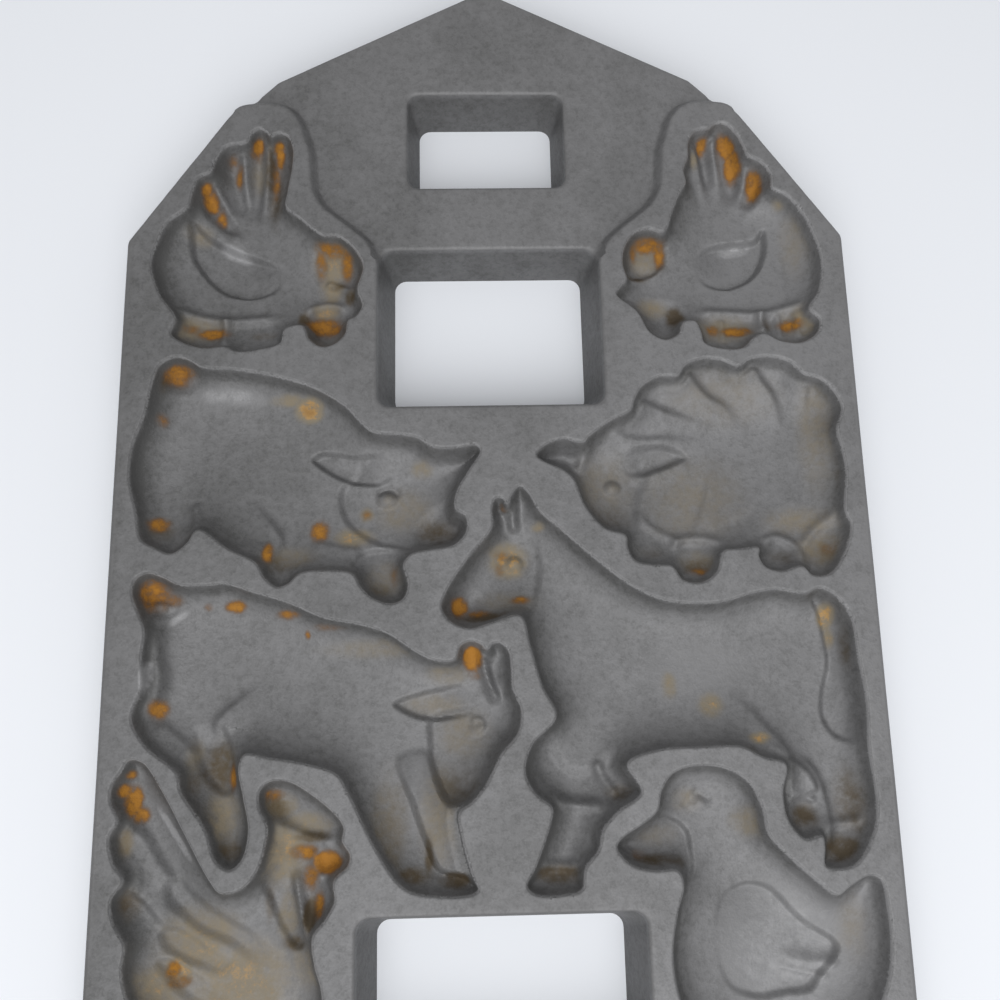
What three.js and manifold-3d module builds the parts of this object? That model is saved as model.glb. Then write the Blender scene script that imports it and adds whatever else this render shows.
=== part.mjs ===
// Cast iron cornbread mould in the outline of a barn. Eight farm animals are sunk into its face as cups,
// a hayloft window, an upper window and a door go right through it, and the gable lies a step lower than
// the face. The real mould is a single pour of grey iron. Here each region of the casting is its own solid,
// and the regions meet face to face on level planes.
import * as THREE from "three";
import { mergeVertices } from "three/addons/utils/BufferGeometryUtils.js";
import Module from "manifold-3d";

const wasm = await Module();
wasm.setup();

// Driving dimensions in millimetres. Barn coordinates: x from the centre line, y up from the bottom edge.
const WIDTH = 210;
const LENGTH = 324;
const HEIGHT = 20;
const WEB = 4; // thickness of the face plate, and of the gable panel
const RECESS = 4; // the gable panel lies this far below the face
const RIDGE_Y = 324.57; // where the roof lines would meet, before rounding brings the tip down to LENGTH
const EAVES_Y = 238;
const PAD_CORNER = [75.4, 280.8]; // where a hen's pad ends on the roof line
const GABLE_FOOT = [[73.4, 279.6], [75.2, 281]]; // the lowered gable's end, just clear of the eave wall
const KNEE = [63.4, 292.6];
const APEX_ROUND = 5;
const CORNER_ROUND = 4;
const SKIRT = 2.3; // rim wall under the plate, thin because the animals reach almost to the edge
const SKIRT_DRAFT = 0.4;
const WINDOW_WALL = 2.6;
const WINDOW_DRAFT = 0.195; // each window wall leans in by this share of its depth
const WINDOW_ROUND = 3.6;
const PANEL_LAP = 1.6; // the gable panel reaches this far under the pads

// Window openings at the level of the face: half width, then bottom and top edge.
const HAYLOFT = { half: 24.8, low: 255.5, high: 288.8 };
const UPPER = { half: 32.6, low: 186.6, high: 237.2 };
const DOOR = { half: 37.5, low: 9, high: 51 };

// Step from a hen's pad down to the gable, from the roof line to the upper window, on the right-hand side.
const PAD_STEP = [[70, 282.2], [65, 282.5], [60, 281], [57, 277.6], [55.4, 273.4], [53.4, 267], [52.8, 260],
  [51.8, 253.6], [49, 248.6], [45, 245], [40, 241], [35.6, 236.6], [33, 231]];

// Cup walls are coves: a steep wall, then a slower foot that rounds into a crowned floor. Each of the two
// has dropped by about two thirds of its depth at its run inside the lip line.
const WALL_DROP = 4.4;
const WALL_RUN = 1.3;
const FOOT_DROP = 3.2;
const FOOT_RUN = 3.6;
const CROWN_FROM = 3;
const CROWN_RUN = 17;
const RELIEF_FROM = 0.6; // relief fades in from here to RELIEF_FROM + RELIEF_RUN inside the lip
const RELIEF_RUN = 3;
const LOBE_SPILL = 0.4; // share of a lobe's soft edge that lies outside its line
const RIDGE_TAPER = 0.2; // share of a ridge's length over which it runs out at an end
const BLOB_REACH = 1.6;
const BLOB_POWER = 1.5;
const SHELL_OUT = 1.2; // a cup's outside stands this far out from its lip
const SHELL_DROP = 8.5;
const SHELL_RUN = 4;
const SHELL_CROWN = 15;
const SHELL_FLOOR = 5.4; // iron under the plain floor, before ears, wings and cheeks are sunk into it

// Facets
const OUTLINE_STEP = 4.2;
const WALL_RINGS = [1.7, 4.4];
const SHELL_RINGS = [2.4, 5];
const FLOOR_GRID = 7.6;
const SHELL_GRID = 11;
const LINE_STEP = 4;
const RIDGE_FOOT = 1.5; // a ridge has vertices on its crest and this many widths to either side
const BLOB_SIDES = 6;
const CLOSEST = 1.9;
const GRID_TURN = 0.31;
const GRID_CLEAR = 0.55; // share of the spacing that a grid point keeps clear of the lines
const OVERSHOOT = 0.6; // patterns and window cutters stand this far clear of the faces that they cut
const BLUNTEST = 1.2; // keeps the mitres of an offset ring short
const FOLD_LIMIT = 0.9;
const ARC_STEPS = 3;
const TINY = 1e-4;

const HALF = WIDTH / 2;
const FACE = HEIGHT;
const PLATE_UNDER = FACE - WEB;
const PANEL_TOP = FACE - RECESS;
const PANEL_UNDER = PANEL_TOP - WEB;

const IRON = { color: 0x6a6765, roughness: 0.62, metalness: 0.75 };

// The animals. deep is the crowned floor's depth, and floor shifts the relief that is drawn on it.
// A ridge stands up from the floor along its line, as between feathers, and is a groove where its height is
// negative. Where it has two widths, the first is on the left of the line's direction. fade is a longer share
// of its length to run out over at the end. A lobe sinks everything inside its edge, and runs out towards its
// root where it has one. A blob is a small round hollow or bump.
const ANIMALS = {
  left_hen: {
    deep: 9.6,
    floor: [-2.1, 4.4],
    outline: [[-98, 231], [-96.8, 237], [-93.8, 244], [-88.3, 248.8], [-87, 254], [-85.3, 258.4],
      [-81.9, 260.2], [-80.6, 264], [-77.6, 268.4], [-71.6, 269.9], [-70, 272.9], [-67.4, 274.3],
      [-65.2, 272.8], [-64.2, 271.8], [-62.4, 272.6], [-59.4, 272], [-57.6, 268], [-57.6, 262],
      [-58.8, 254], [-59.2, 248.8], [-55, 245], [-48.4, 239.6], [-43.5, 239], [-38.8, 235],
      [-36.4, 229.6], [-38, 222.6], [-36.6, 217.4], [-38.6, 214], [-40.6, 213], [-41.4, 209],
      [-44.4, 205.8], [-48.4, 204.9], [-52, 207.3], [-53.9, 211.4], [-58.8, 210.4], [-60, 206.2],
      [-66, 204.3], [-72.6, 203.8], [-75.6, 205.2], [-82, 204.9], [-88.4, 206.9], [-91.4, 209.4],
      [-90.2, 214], [-95.2, 221.6]],
    lobes: [
      { depth: 2.2, soft: 2.6, root: [-58, 225], reach: 18, edge: [[-86, 242], [-86.7, 237], [-86, 232],
        [-83, 227], [-79, 222.6], [-75, 220.2], [-68, 219.2], [-61, 221.6], [-58, 227], [-63, 230.2],
        [-68, 232.2], [-73, 234], [-78, 236.4], [-82, 238.8]] },
      { depth: 1.2, soft: 5, edge: [[-47.6, 241], [-48.7, 231], [-49.4, 224], [-51, 214], [-52, 206],
        [-46, 198], [-32, 206], [-30, 232], [-40, 246]] },
    ],
    ridges: [
      { height: -1.3, width: 2.4, line: [[-85, 259], [-82.6, 253], [-80, 247.6], [-76.6, 242.6],
        [-72, 238.6]] },
      { height: -1.2, width: 2.4, line: [[-79, 269], [-76, 262], [-74.6, 256], [-72.4, 250], [-70, 244]] },
      { height: -1.2, width: 2, line: [[-67.8, 275], [-67.4, 266], [-67.3, 258], [-67.6, 250],
        [-67.4, 243]] },
      { height: -1.2, width: 2, line: [[-60.8, 273], [-60.4, 264], [-61, 256], [-62.4, 248],
        [-63.6, 241]] },
      { height: 1.8, width: 1.5, fade: 0.5, line: [[-83, 262], [-79, 252.6], [-75.8, 246.6], [-71, 239]] },
      { height: 1.8, width: 1.5, fade: 0.5, line: [[-71.4, 273], [-70.8, 262], [-70.6, 255],
        [-69.4, 243]] },
      { height: 1.8, width: 1.5, fade: 0.5, line: [[-64.2, 275], [-63.8, 263], [-64.2, 254],
        [-65.8, 239]] },
      { height: 1, width: [1.4, 3], line: [[-88, 251], [-82, 243.4], [-77.6, 240], [-69, 236.6]] },
      { height: 1.4, width: 1.3, line: [[-47, 223.6], [-42, 221.6], [-37, 218.6]] },
      { height: 1.4, width: 1.5, line: [[-53, 213.6], [-46, 216.2], [-39, 214.4]] },
      { height: 1.7, width: 1.6, line: [[-91, 214.4], [-80, 211.6], [-70, 211.4], [-58, 212.4]] },
      { height: 1.6, width: 1.4, line: [[-75, 213], [-75, 202]] },
    ],
    blobs: [
      { depth: -1, at: [-44, 228], size: [3.4, 3.8] },
      { depth: 1.6, at: [-46.8, 210], size: [6, 5.4] },
    ],
  },
  right_hen: {
    deep: 9.6,
    floor: [2.5, 4.4],
    outline: [[37, 220.2], [38.6, 222.8], [40.2, 224.6], [39.2, 229.6], [40, 235], [43, 239.3],
      [47.7, 240.7], [51.6, 239.6], [53.2, 241.4], [54.6, 245.6], [57, 251.4], [59.4, 255.8],
      [59, 260], [60.6, 264.4], [61, 269.2], [63.2, 272.6], [67.4, 273.6], [69.4, 275.1],
      [72.6, 275.2], [76, 271.8], [78, 267.4], [79, 264.6], [83, 262], [85.6, 257.8], [85.6, 253.6],
      [89.4, 251.4], [93.6, 246.2], [96.8, 238.6], [98.5, 230], [97, 221], [93.6, 214.8],
      [96.4, 211.6], [95.4, 207.6], [90.6, 204.6], [84.4, 205], [79.4, 207.4], [76.6, 206.2],
      [73.4, 203.2], [67, 202.9], [61.9, 204.8], [61, 208.4], [59.6, 211.4], [56.4, 211.2],
      [54.8, 207.6], [50.6, 205.8], [46.2, 208.2], [42.8, 214.6]],
    lobes: [
      { depth: 2.2, soft: 2.6, root: [59.5, 226], reach: 18, edge: [[81.6, 239.2], [79, 236.4], [74, 235.6],
        [68, 235], [63.6, 233.4], [59.6, 228], [62, 222.8], [68.6, 220.6], [73, 221.6], [77, 223.8],
        [80, 227.4], [81.8, 232.4], [82.2, 236]] },
      { depth: 1.6, soft: 2.6, edge: [[36, 221.6], [45.4, 223], [49.8, 226.5], [51.2, 232.6], [50.4, 242],
        [44, 248], [33, 240], [32, 226]] },
    ],
    ridges: [
      { height: -1.2, width: 2, line: [[63.4, 274], [63.6, 266], [64.4, 259], [65.6, 252]] },
      { height: -1.5, width: 2.6, line: [[70.6, 276], [72, 268], [73.4, 261], [73, 254], [71.4, 247]] },
      { height: -1.5, width: 2.4, line: [[82.6, 262.5], [80.4, 256], [78.8, 250], [76, 245.4]] },
      { height: 1.8, width: 1.5, fade: 0.5, line: [[58.8, 268], [62, 259.4], [63, 253], [64.8, 246]] },
      { height: 1.8, width: 1.5, fade: 0.5, line: [[68, 277], [67, 266], [67.8, 258], [69.4, 247]] },
      { height: 1.8, width: 1.5, fade: 0.5, line: [[79.6, 268], [76.4, 259], [75.8, 253], [73, 244]] },
      { height: 1.2, width: 1.8, fade: 0.5, line: [[88, 255], [82, 249.8], [79, 246.4], [74.6, 241.6]] },
      { height: 1.6, width: 1.3, line: [[36.6, 220.2], [42, 222], [48, 224.8], [51, 228.4]] },
      { height: 1.7, width: 1.6, line: [[57, 212.4], [68, 212.2], [78, 211.6], [86, 213], [94, 215]] },
      { height: 1.8, width: 1.4, line: [[78, 213.4], [78.2, 204.6]] },
      { height: 0.9, width: 1.1, line: [[66.4, 202], [66.6, 211]] },
      { height: 0.9, width: 1.1, line: [[83.4, 203], [83.4, 212]] },
      { height: 0.9, width: 1.1, line: [[88.6, 203], [88.6, 212.6]] },
    ],
    blobs: [
      { depth: -1, at: [45, 229], size: [3.4, 3.2] },
      { depth: 1.6, at: [49.6, 211], size: [6, 5.2] },
    ],
  },
  pig: {
    deep: 10.4,
    floor: [-1.6, 2.3],
    outline: [[-95.8, 195], [-94, 200], [-89.4, 202.4], [-85, 201.2], [-82, 199.3], [-72, 198.3],
      [-61, 196.2], [-50, 192.6], [-41.6, 187.4], [-33.6, 179.6], [-26, 178.7], [-20.8, 177.6],
      [-16.6, 174.9], [-10, 174.6], [-4.2, 175.2], [-3.2, 173.6], [-6.8, 167.6], [-10.2, 161.4],
      [-10.4, 157], [-7.6, 154.8], [-7.6, 150.4], [-11, 146.8], [-16.6, 145.7], [-22.8, 144.4],
      [-24.8, 141.8], [-23.6, 136], [-25, 132.2], [-28.4, 130.9], [-33.6, 132.6], [-37, 136],
      [-39, 139.3], [-46.5, 140.4], [-53, 139.7], [-56.4, 136.8], [-59.4, 136], [-63, 138.8],
      [-65.4, 142.8], [-73, 146.8], [-81.4, 152.2], [-84, 148.6], [-88.2, 145.7], [-93, 147.4],
      [-96.8, 149.8], [-98.4, 157], [-100.8, 167], [-100.4, 176], [-97.6, 185.4]],
    lobes: [
      { depth: 2.1, soft: 1.9, root: [-25.5, 168.5], reach: 14, edge: [[-50.2, 171.6], [-47.6, 169.2],
        [-44, 166.8], [-40, 165], [-35, 164.1], [-29.6, 164.3], [-26, 168], [-29, 171.4], [-34, 172.1],
        [-38.4, 172], [-44, 173.3], [-48, 173.3]] },
      { depth: 1.7, soft: 2.4, root: [-33, 170.5], reach: 14, edge: [[-38, 167], [-41.6, 163], [-42.1, 158],
        [-40.2, 153.2], [-36.2, 149.2], [-30.4, 146.2], [-24, 144.4], [-14, 139], [0, 144], [2, 160],
        [0, 182], [-24, 184], [-34, 174]] },
      { depth: 1.4, soft: 2.2, edge: [[-38, 141], [-35, 144], [-30.6, 145], [-25.4, 144.4], [-20, 138],
        [-22, 127], [-30, 126], [-38, 132]] },
      { depth: 1.5, soft: 4, edge: [[-20.6, 149.6], [-18, 153.2], [-13.6, 156.8], [-6, 158], [-2, 150],
        [-8, 142], [-18, 143]] },
    ],
    ridges: [
      { height: 1.8, width: [5, 1.5], fade: 0.6, line: [[-63.4, 140], [-60.4, 144.6], [-59, 148],
        [-61, 151.4], [-64.6, 155.6], [-70, 161]] },
      { height: 1.2, width: 1.4, line: [[-80.8, 148.5], [-81.6, 154], [-82.8, 159.6]] },
      { height: 1, width: [1.3, 3], line: [[-50, 147], [-42, 145], [-35, 144.4]] },
      { height: -0.9, width: 1, line: [[-31.8, 160.6], [-29.8, 162.6], [-26.8, 162.6], [-25, 160]] },
      { height: 1.1, width: 1.3, line: [[-93.4, 195], [-91, 199.4], [-86.6, 199.6], [-84.8, 196.6],
        [-87.4, 194.6]] },
      { height: 0.6, width: 1, line: [[-45, 173], [-39, 170.6], [-33, 171.6]] },
    ],
    blobs: [
      { depth: -1.9, at: [-28.8, 159.6], size: [2.8, 2.2] },
      { depth: 1.6, at: [-89, 197], size: [6.6, 5.2] },
    ],
  },
  sheep: {
    deep: 10,
    floor: [2.1, 2.2],
    outline: [[12.2, 172.2], [14.6, 174.9], [20, 176.7], [25.6, 175.7], [27.4, 177.5], [33.3, 181.7],
      [39.6, 185.1], [40.6, 188], [43, 192], [48, 194.8], [53.4, 195.1], [56, 198.3], [61, 200],
      [66.6, 199.6], [71.3, 197.8], [75, 199.9], [81, 200.4], [86.4, 198.8], [90.4, 195], [95, 193.4],
      [99, 189], [100.4, 184.6], [98.4, 178.4], [99.4, 172], [99.9, 166], [98.5, 155], [99.8, 150.4],
      [97, 142.4], [92.6, 137], [87.6, 136.7], [85, 139.2], [79, 137.9], [74.6, 139.3], [73, 142.4],
      [73.2, 144.6], [68, 144.3], [63.6, 143.8], [61.4, 138.2], [57, 135.2], [51.6, 136], [48.8, 139.8],
      [43, 140.4], [38.6, 141.7], [36.6, 145.6], [36.4, 148.6], [30.6, 150.8], [25.4, 157.2],
      [22.4, 165], [19.6, 167.6], [14, 170.3]],
    lobes: [
      { depth: 1.7, soft: 2.2, root: [34.5, 170], reach: 10, edge: [[54.2, 170.6], [50.6, 173.2],
        [45, 173.9], [38.6, 172.6], [35, 170], [37, 166.4], [41, 165.4], [47, 167]] },
      { depth: 1.5, soft: 4, root: [38, 175], reach: 12, edge: [[43, 165], [41, 172], [34, 177], [26, 181],
        [12, 180], [8, 170], [18, 154], [30, 144], [38, 146.5], [38.8, 152], [40, 159]] },
    ],
    ridges: [
      { height: 2.2, width: [2, 7], fade: 0.6, line: [[35.6, 187.2], [47, 183.4], [54, 181], [64, 178]] },
      { height: 2.8, width: [2, 7], fade: 0.6, line: [[50.6, 199.6], [56.5, 191.5], [60.5, 187.5],
        [66, 184.2], [71, 176]] },
      { height: 2.8, width: [2, 7], fade: 0.6, line: [[69.6, 202.4], [75, 193.5], [79.5, 187.5],
        [83, 175]] },
      { height: 1.8, width: [1.8, 5], fade: 0.6, line: [[91.6, 200], [89, 190], [89.6, 179]] },
      { height: 1.4, width: [1.6, 4], fade: 0.5, line: [[28, 180], [35, 176], [40, 175], [48, 175.3],
        [54, 175], [62, 177]] },
      { height: 1, width: [1.4, 3], line: [[37, 165.4], [46.6, 166.8], [55.4, 171]] },
      { height: 0.8, width: [1.6, 5], fade: 0.4, line: [[54, 144], [57.6, 152], [60.4, 160], [62, 173]] },
      { height: 0.7, width: [5, 1.6], fade: 0.4, line: [[57, 149], [65, 152.5], [72, 156.6], [77, 164]] },
      { height: 0.9, width: [5, 1.6], fade: 0.4, line: [[66, 146], [78, 151], [84, 156], [87.6, 168]] },
      { height: 0.9, width: 1.3, line: [[39.4, 156], [40.4, 152], [44.4, 148.6], [52, 145]] },
      { height: 1.4, width: 1.5, line: [[25.6, 176], [24.6, 171], [22.4, 166]] },
      { height: 1.4, width: 1.5, line: [[48.4, 142], [50, 145.6], [56, 146.2], [63, 144.6]] },
      { height: 1.4, width: 1.5, line: [[73, 144.6], [78, 146.4], [83, 144], [85.2, 138.4]] },
      { height: 1.4, width: 1.6, line: [[84.6, 142], [89, 148], [98, 154.4]] },
    ],
    blobs: [
      { depth: -1.7, at: [32.4, 161.8], size: [2.4, 2.2] },
    ],
  },
  goat: {
    deep: 10,
    floor: [-1.2, 0],
    outline: [[-98.4, 135.4], [-97.6, 138.8], [-94.6, 140.6], [-90.6, 139.6], [-85.4, 137.2],
      [-79, 136.9], [-73, 137.2], [-66, 135], [-56, 131.8], [-46.4, 127.6], [-36, 125.4], [-29, 123],
      [-21.6, 118], [-16.6, 115.7], [-11.4, 115.7], [-9.8, 119.4], [-7, 120.6], [-4.2, 119.8],
      [-2.5, 118.2], [-1, 119.8], [1.2, 119.9], [3.4, 117.6], [4, 113], [4.2, 108], [6.4, 102],
      [5.4, 96], [0.8, 90.6], [-3.4, 82.8], [-7.4, 78.4], [-10.4, 76.2], [-9.8, 70], [-7.2, 60.4],
      [-5.8, 57], [-8, 55.7], [-18, 55.8], [-23.6, 57], [-27.4, 60], [-33.4, 69.4], [-39.4, 81.4],
      [-42.6, 86.4], [-50, 89.1], [-60, 91], [-66.6, 92], [-68, 89], [-66.6, 81.4], [-65, 73],
      [-66.6, 65.6], [-69.6, 63.3], [-73.2, 65.4], [-76.6, 74], [-83, 83], [-84.2, 87.6], [-93, 95],
      [-96.8, 102], [-94.4, 110], [-95, 118], [-94.6, 125], [-97, 131]],
    lobes: [
      { depth: 1.5, soft: 2.4, root: [-78, 101], reach: 8, edge: [[-80.4, 99], [-74.4, 100.4],
        [-71.6, 96.4], [-69.6, 91.6], [-68.4, 86], [-70, 82], [-73, 82], [-77, 86], [-79.8, 92]] },
      { depth: 1.9, soft: 1.8, root: [-4.5, 105], reach: 12, edge: [[-27, 104.4], [-22.4, 101.3],
        [-17, 99.9], [-11.6, 100.2], [-6.4, 101.4], [-5, 105], [-8.6, 108.8], [-14, 108.2], [-20, 107]] },
      { depth: 1.6, soft: 2.4, root: [-3, 110], reach: 14, edge: [[-16.9, 100.4], [-17.4, 94], [-17, 88],
        [-15.4, 83], [-12, 77.6], [-6, 72], [4, 80], [13, 92], [15, 106], [6, 110], [-4, 104]] },
      { depth: -5.6, soft: 2.6, root: [-23, 94], reach: 15, edge: [[-25.8, 90], [-22, 78], [-18.2, 68],
        [-14.8, 61.4], [-6, 60.5], [-2, 62], [-6, 76], [-12.4, 79], [-15, 84], [-18.6, 91.6]] },
    ],
    ridges: [
      { height: 1.9, width: [1.6, 5], line: [[-90.6, 127], [-91.6, 122.6], [-91, 118], [-89.8, 113.6],
        [-90.4, 108.4], [-95, 101]] },
      { height: 1.5, width: [1.6, 6], fade: 0.6, line: [[-73, 95], [-74.4, 99.8], [-72, 102.8],
        [-67.6, 106.4], [-61, 111]] },
      { height: 2.8, width: 1.4, line: [[-2.4, 121.5], [-2.2, 114], [-0.8, 109], [2, 103]] },
      { height: 1.2, width: [1.3, 2.6], line: [[-91, 101.4], [-84, 95.6], [-79.4, 91]] },
      { height: 0.9, width: 1, line: [[-6.4, 99.6], [-3.4, 99.4], [-2.4, 96.6]] },
      { height: 0.9, width: 1.2, line: [[-97, 134], [-92, 136.6], [-87, 134.4]] },
      { height: 0.9, width: 1.2, line: [[-95, 130.4], [-91, 132.4], [-87, 131]] },
    ],
    blobs: [
      { depth: -0.8, at: [-4.4, 97], size: [2.2, 1.7] },
      { depth: 1.4, at: [-92.5, 134.6], size: [6, 5.6] },
    ],
  },
  horse: {
    deep: 10.4,
    floor: [1.5, 0.7],
    outline: [[-14.9, 129.6], [-13.6, 134], [-7.6, 143], [-0.6, 152], [-0.6, 157], [0.6, 160],
      [2.8, 159.8], [4, 158], [5, 160.6], [7.4, 163.3], [9.8, 161.4], [12.6, 156.4], [19, 150.4],
      [29, 141.4], [37.4, 134.8], [45, 131], [53, 129.6], [62, 129.9], [70.8, 132.2], [77, 133],
      [85.2, 131.8], [89, 133.2], [93.6, 131], [97.4, 124.6], [98.3, 114], [99.4, 102], [98.8, 90],
      [99.6, 76], [98.2, 69], [92.8, 61], [88, 59.8], [84.4, 60.6], [84.6, 65.4], [84.2, 68],
      [79.6, 67.4], [75.6, 72], [74.6, 79], [76, 86.4], [70, 88.4], [64.4, 91.2], [53, 91.3],
      [43, 90.9], [34.2, 87.6], [37.5, 80.2], [31, 75.4], [27, 71], [25.6, 66], [22, 61.6],
      [20.9, 56.4], [17, 55.3], [8.6, 55.5], [6.5, 57.6], [9, 62.4], [13.4, 74], [13.6, 76.8],
      [9.2, 80.6], [6.8, 86], [8.8, 93], [15.4, 100.2], [12, 108], [9, 119], [6.6, 127],
      [-1, 125.3], [-7, 123.8], [-12, 125.5]],
    lobes: [
      { depth: 1.4, soft: 2.8, root: [8, 152], reach: 14, edge: [[11.6, 142], [6, 157], [-4, 158],
        [-14, 146], [-21, 128], [-8, 117], [7, 124], [10.4, 133]] },
      { depth: 1.3, soft: 4, edge: [[8, 90], [9.6, 83], [14, 78.4], [23, 76.6], [31, 76.6], [37, 80.4],
        [33.6, 87], [29, 89], [25, 86], [19, 85], [15.4, 88], [12.6, 93.6], [9.6, 94]] },
      { depth: -2.2, soft: 2.4, edge: [[76.6, 87], [76, 78], [80, 77.2], [84, 78.6], [81.6, 84.4]] },
      { depth: 1.7, soft: 2.2, edge: [[85, 133], [88.4, 127], [90, 119], [90.4, 112], [88.6, 105], [88, 98],
        [90.4, 93], [94.6, 90.8], [106, 89], [108, 134], [92, 142]] },
    ],
    ridges: [
      { height: 1.7, width: [4.5, 1.7], fade: 0.6, line: [[79, 85], [75, 90.4], [71, 95.4], [67, 100],
        [61, 105]] },
      { height: 1.9, width: [1.5, 3.5], line: [[78, 87], [82.4, 84.6], [84.8, 80], [86, 73], [85, 63]] },
      { height: 2.4, width: 1.4, line: [[4.2, 160.5], [3.8, 154.6], [4.4, 149.6]] },
      { height: 1.4, width: 1.6, line: [[25, 88], [26.6, 82.6], [30.4, 78]] },
      { height: 1.4, width: 1.6, line: [[12, 77.8], [19, 76.2], [27, 76]] },
      { height: 1, width: 1.3, line: [[7.6, 62], [14, 61], [22.6, 61]] },
      { height: 1.4, width: 1.1, line: [[75, 76.6], [79.4, 77], [84.4, 75.6]] },
      { height: 1, width: 1.3, line: [[84.6, 69.4], [90, 69.8], [98, 71.4]] },
      { height: -0.6, width: 1.4, line: [[0.2, 140.6], [1.4, 144.4], [5, 145.2], [7.6, 142.6],
        [6.4, 138.8]] },
    ],
    blobs: [
      { depth: -1.6, at: [4.2, 141.6], size: [2.4, 2.1] },
      { depth: 1.2, at: [-10, 130], size: [5, 4.4] },
    ],
  },
  rooster: {
    deep: 9.6,
    floor: [-1.9, -1.4],
    outline: [[-98.6, 88.6], [-96.6, 91.4], [-93, 90.7], [-88, 84], [-81, 72], [-75, 61.7], [-71.8, 58],
      [-66.8, 58.6], [-63, 62.6], [-60.8, 69], [-60.4, 74], [-62.6, 78.6], [-62.6, 82.8], [-60, 85.2],
      [-55, 85.1], [-50, 82.4], [-43.4, 77.2], [-40.5, 73.4], [-40.7, 69.6], [-38.8, 66.6],
      [-39.2, 63.6], [-42.8, 60], [-42.6, 55], [-45, 50.6], [-48, 46.8], [-47.4, 40], [-45.6, 34],
      [-45.4, 27], [-48.4, 20.4], [-52.4, 15.8], [-51.2, 12], [-52.6, 8.8], [-57.6, 7], [-63.4, 7.4],
      [-66.4, 9], [-69.4, 7.6], [-75.6, 7.2], [-80.6, 9.2], [-81.6, 12.6], [-79.8, 16.2], [-87.6, 24.4],
      [-94, 33.4], [-95.8, 40], [-95.4, 46], [-98.6, 51.6], [-99.4, 57], [-96.6, 61.4], [-99.6, 66],
      [-100.8, 72], [-98.8, 76.2], [-101, 81], [-100.8, 85]],
    lobes: [
      { depth: 1.6, soft: 2.2, root: [-56, 68], reach: 10, edge: [[-60.6, 61], [-58.6, 56], [-55.4, 49],
        [-51, 44.4], [-48, 46], [-50, 51], [-51.4, 57], [-52.6, 62], [-56, 66]] },
      { depth: 1.6, soft: 3, root: [-57, 38], reach: 16, edge: [[-85.4, 60.8], [-83, 62], [-79, 58.6],
        [-74, 54.6], [-68, 50.8], [-62, 47], [-58.8, 42.6], [-58.6, 37], [-64, 42], [-70, 46], [-76, 48.6],
        [-81, 52.4], [-85, 57]] },
      { depth: 1.4, soft: 2.6, root: [-66, 36], reach: 14, edge: [[-86.6, 48.6], [-84, 50], [-79, 47.6],
        [-74, 44], [-68, 40.6], [-70, 38.4], [-76, 40], [-81, 42], [-85.4, 45]] },
      { depth: 1.4, soft: 2.6, root: [-68, 30], reach: 14, edge: [[-87, 41.6], [-84.6, 42.4], [-80, 39.8],
        [-75, 36.6], [-70, 33], [-72, 30], [-78, 32], [-83, 36]] },
    ],
    ridges: [
      { height: 2, width: [1.9, 4], fade: 0.4, line: [[-103, 78.4], [-96.5, 76.4], [-92.5, 73], [-88, 66],
        [-83, 59.5], [-78, 53.6]] },
      { height: 2, width: [4, 1.7], fade: 0.3, line: [[-100.6, 63], [-95, 61.6], [-91, 58.6], [-87, 54],
        [-82.6, 48.6]] },
      { height: 1.6, width: [1.4, 2.8], line: [[-61.4, 77], [-54.6, 74.4], [-48.6, 71.8], [-39.6, 70]] },
      { height: 1.2, width: 1.4, line: [[-47, 69.4], [-46.4, 64.6], [-44.4, 60.6]] },
      { height: 1.9, width: 1.5, line: [[-51.8, 64.4], [-51, 57], [-49.6, 51.6], [-47.6, 45]] },
      { height: 1.7, width: 1.6, line: [[-81, 18.6], [-72, 16], [-63, 15.8], [-51, 18]] },
      { height: 1.6, width: 1.4, line: [[-64.8, 17], [-64.8, 7]] },
    ],
    blobs: [
      { depth: 1.5, at: [-42.6, 64.6], size: [4, 3.2] },
      { depth: 1.4, at: [-46.4, 53.6], size: [3, 4.6] },
    ],
  },
  duck: {
    deep: 10.4,
    floor: [2.4, -1.7],
    outline: [[30.1, 66.6], [32, 69.2], [37, 72.2], [41.2, 75.6], [42.6, 80.6], [46, 85], [53, 86.8],
      [60.6, 85.6], [66, 82], [69, 75.7], [70.2, 69], [75, 63.4], [82, 57], [86.8, 53.5], [91, 56],
      [96, 58.2], [98.8, 56.8], [99.8, 50], [99.9, 42], [98.6, 34], [94.6, 25], [88.6, 18.2],
      [85.6, 15.4], [87, 11.4], [84.6, 8], [78.4, 6.8], [72.4, 7.6], [69.6, 9.2], [66.6, 7.6], [60.4, 6.8],
      [54.6, 8.2], [52.6, 11.6], [54, 15.2], [51, 18.4], [46.6, 24], [43.9, 32], [43.3, 41], [45, 50],
      [47, 57], [45.6, 60.4], [39.6, 60.5],
      [33.6, 62.2]],
    lobes: [
      { depth: 1.6, soft: 1.8, edge: [[48.8, 66], [48.4, 70], [47, 72.4], [44.6, 74.2], [40, 75.8],
        [33, 77], [24, 68], [28, 57], [44, 56], [48.6, 61]] },
      { depth: 2.1, soft: 1.9, root: [57, 42], reach: 26, edge: [[54.2, 48], [54, 40], [57, 32], [64, 29],
        [71.6, 29.6], [78.4, 30.6], [81, 34], [84.6, 37.6], [86.3, 40.6], [85.4, 42.6], [82.4, 44.6],
        [78.4, 47], [74.8, 50.4], [72, 53.6], [69, 56.2], [65, 57.4], [60.6, 56.8], [56.4, 54]] },
    ],
    ridges: [
      { height: 1.2, width: [1.2, 2], fade: 0.5, line: [[87, 37], [79, 37], [68, 40]] },
      { height: 1, width: [1.2, 2], fade: 0.5, line: [[84, 33.4], [76, 35], [66, 37.6]] },
      { height: -0.4, width: 1.1, line: [[46.4, 77.2], [49, 78.8], [51, 78]] },
      { height: -0.5, width: 1.2, line: [[49.4, 81.6], [52, 80.6], [55, 78.2]] },
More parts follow.
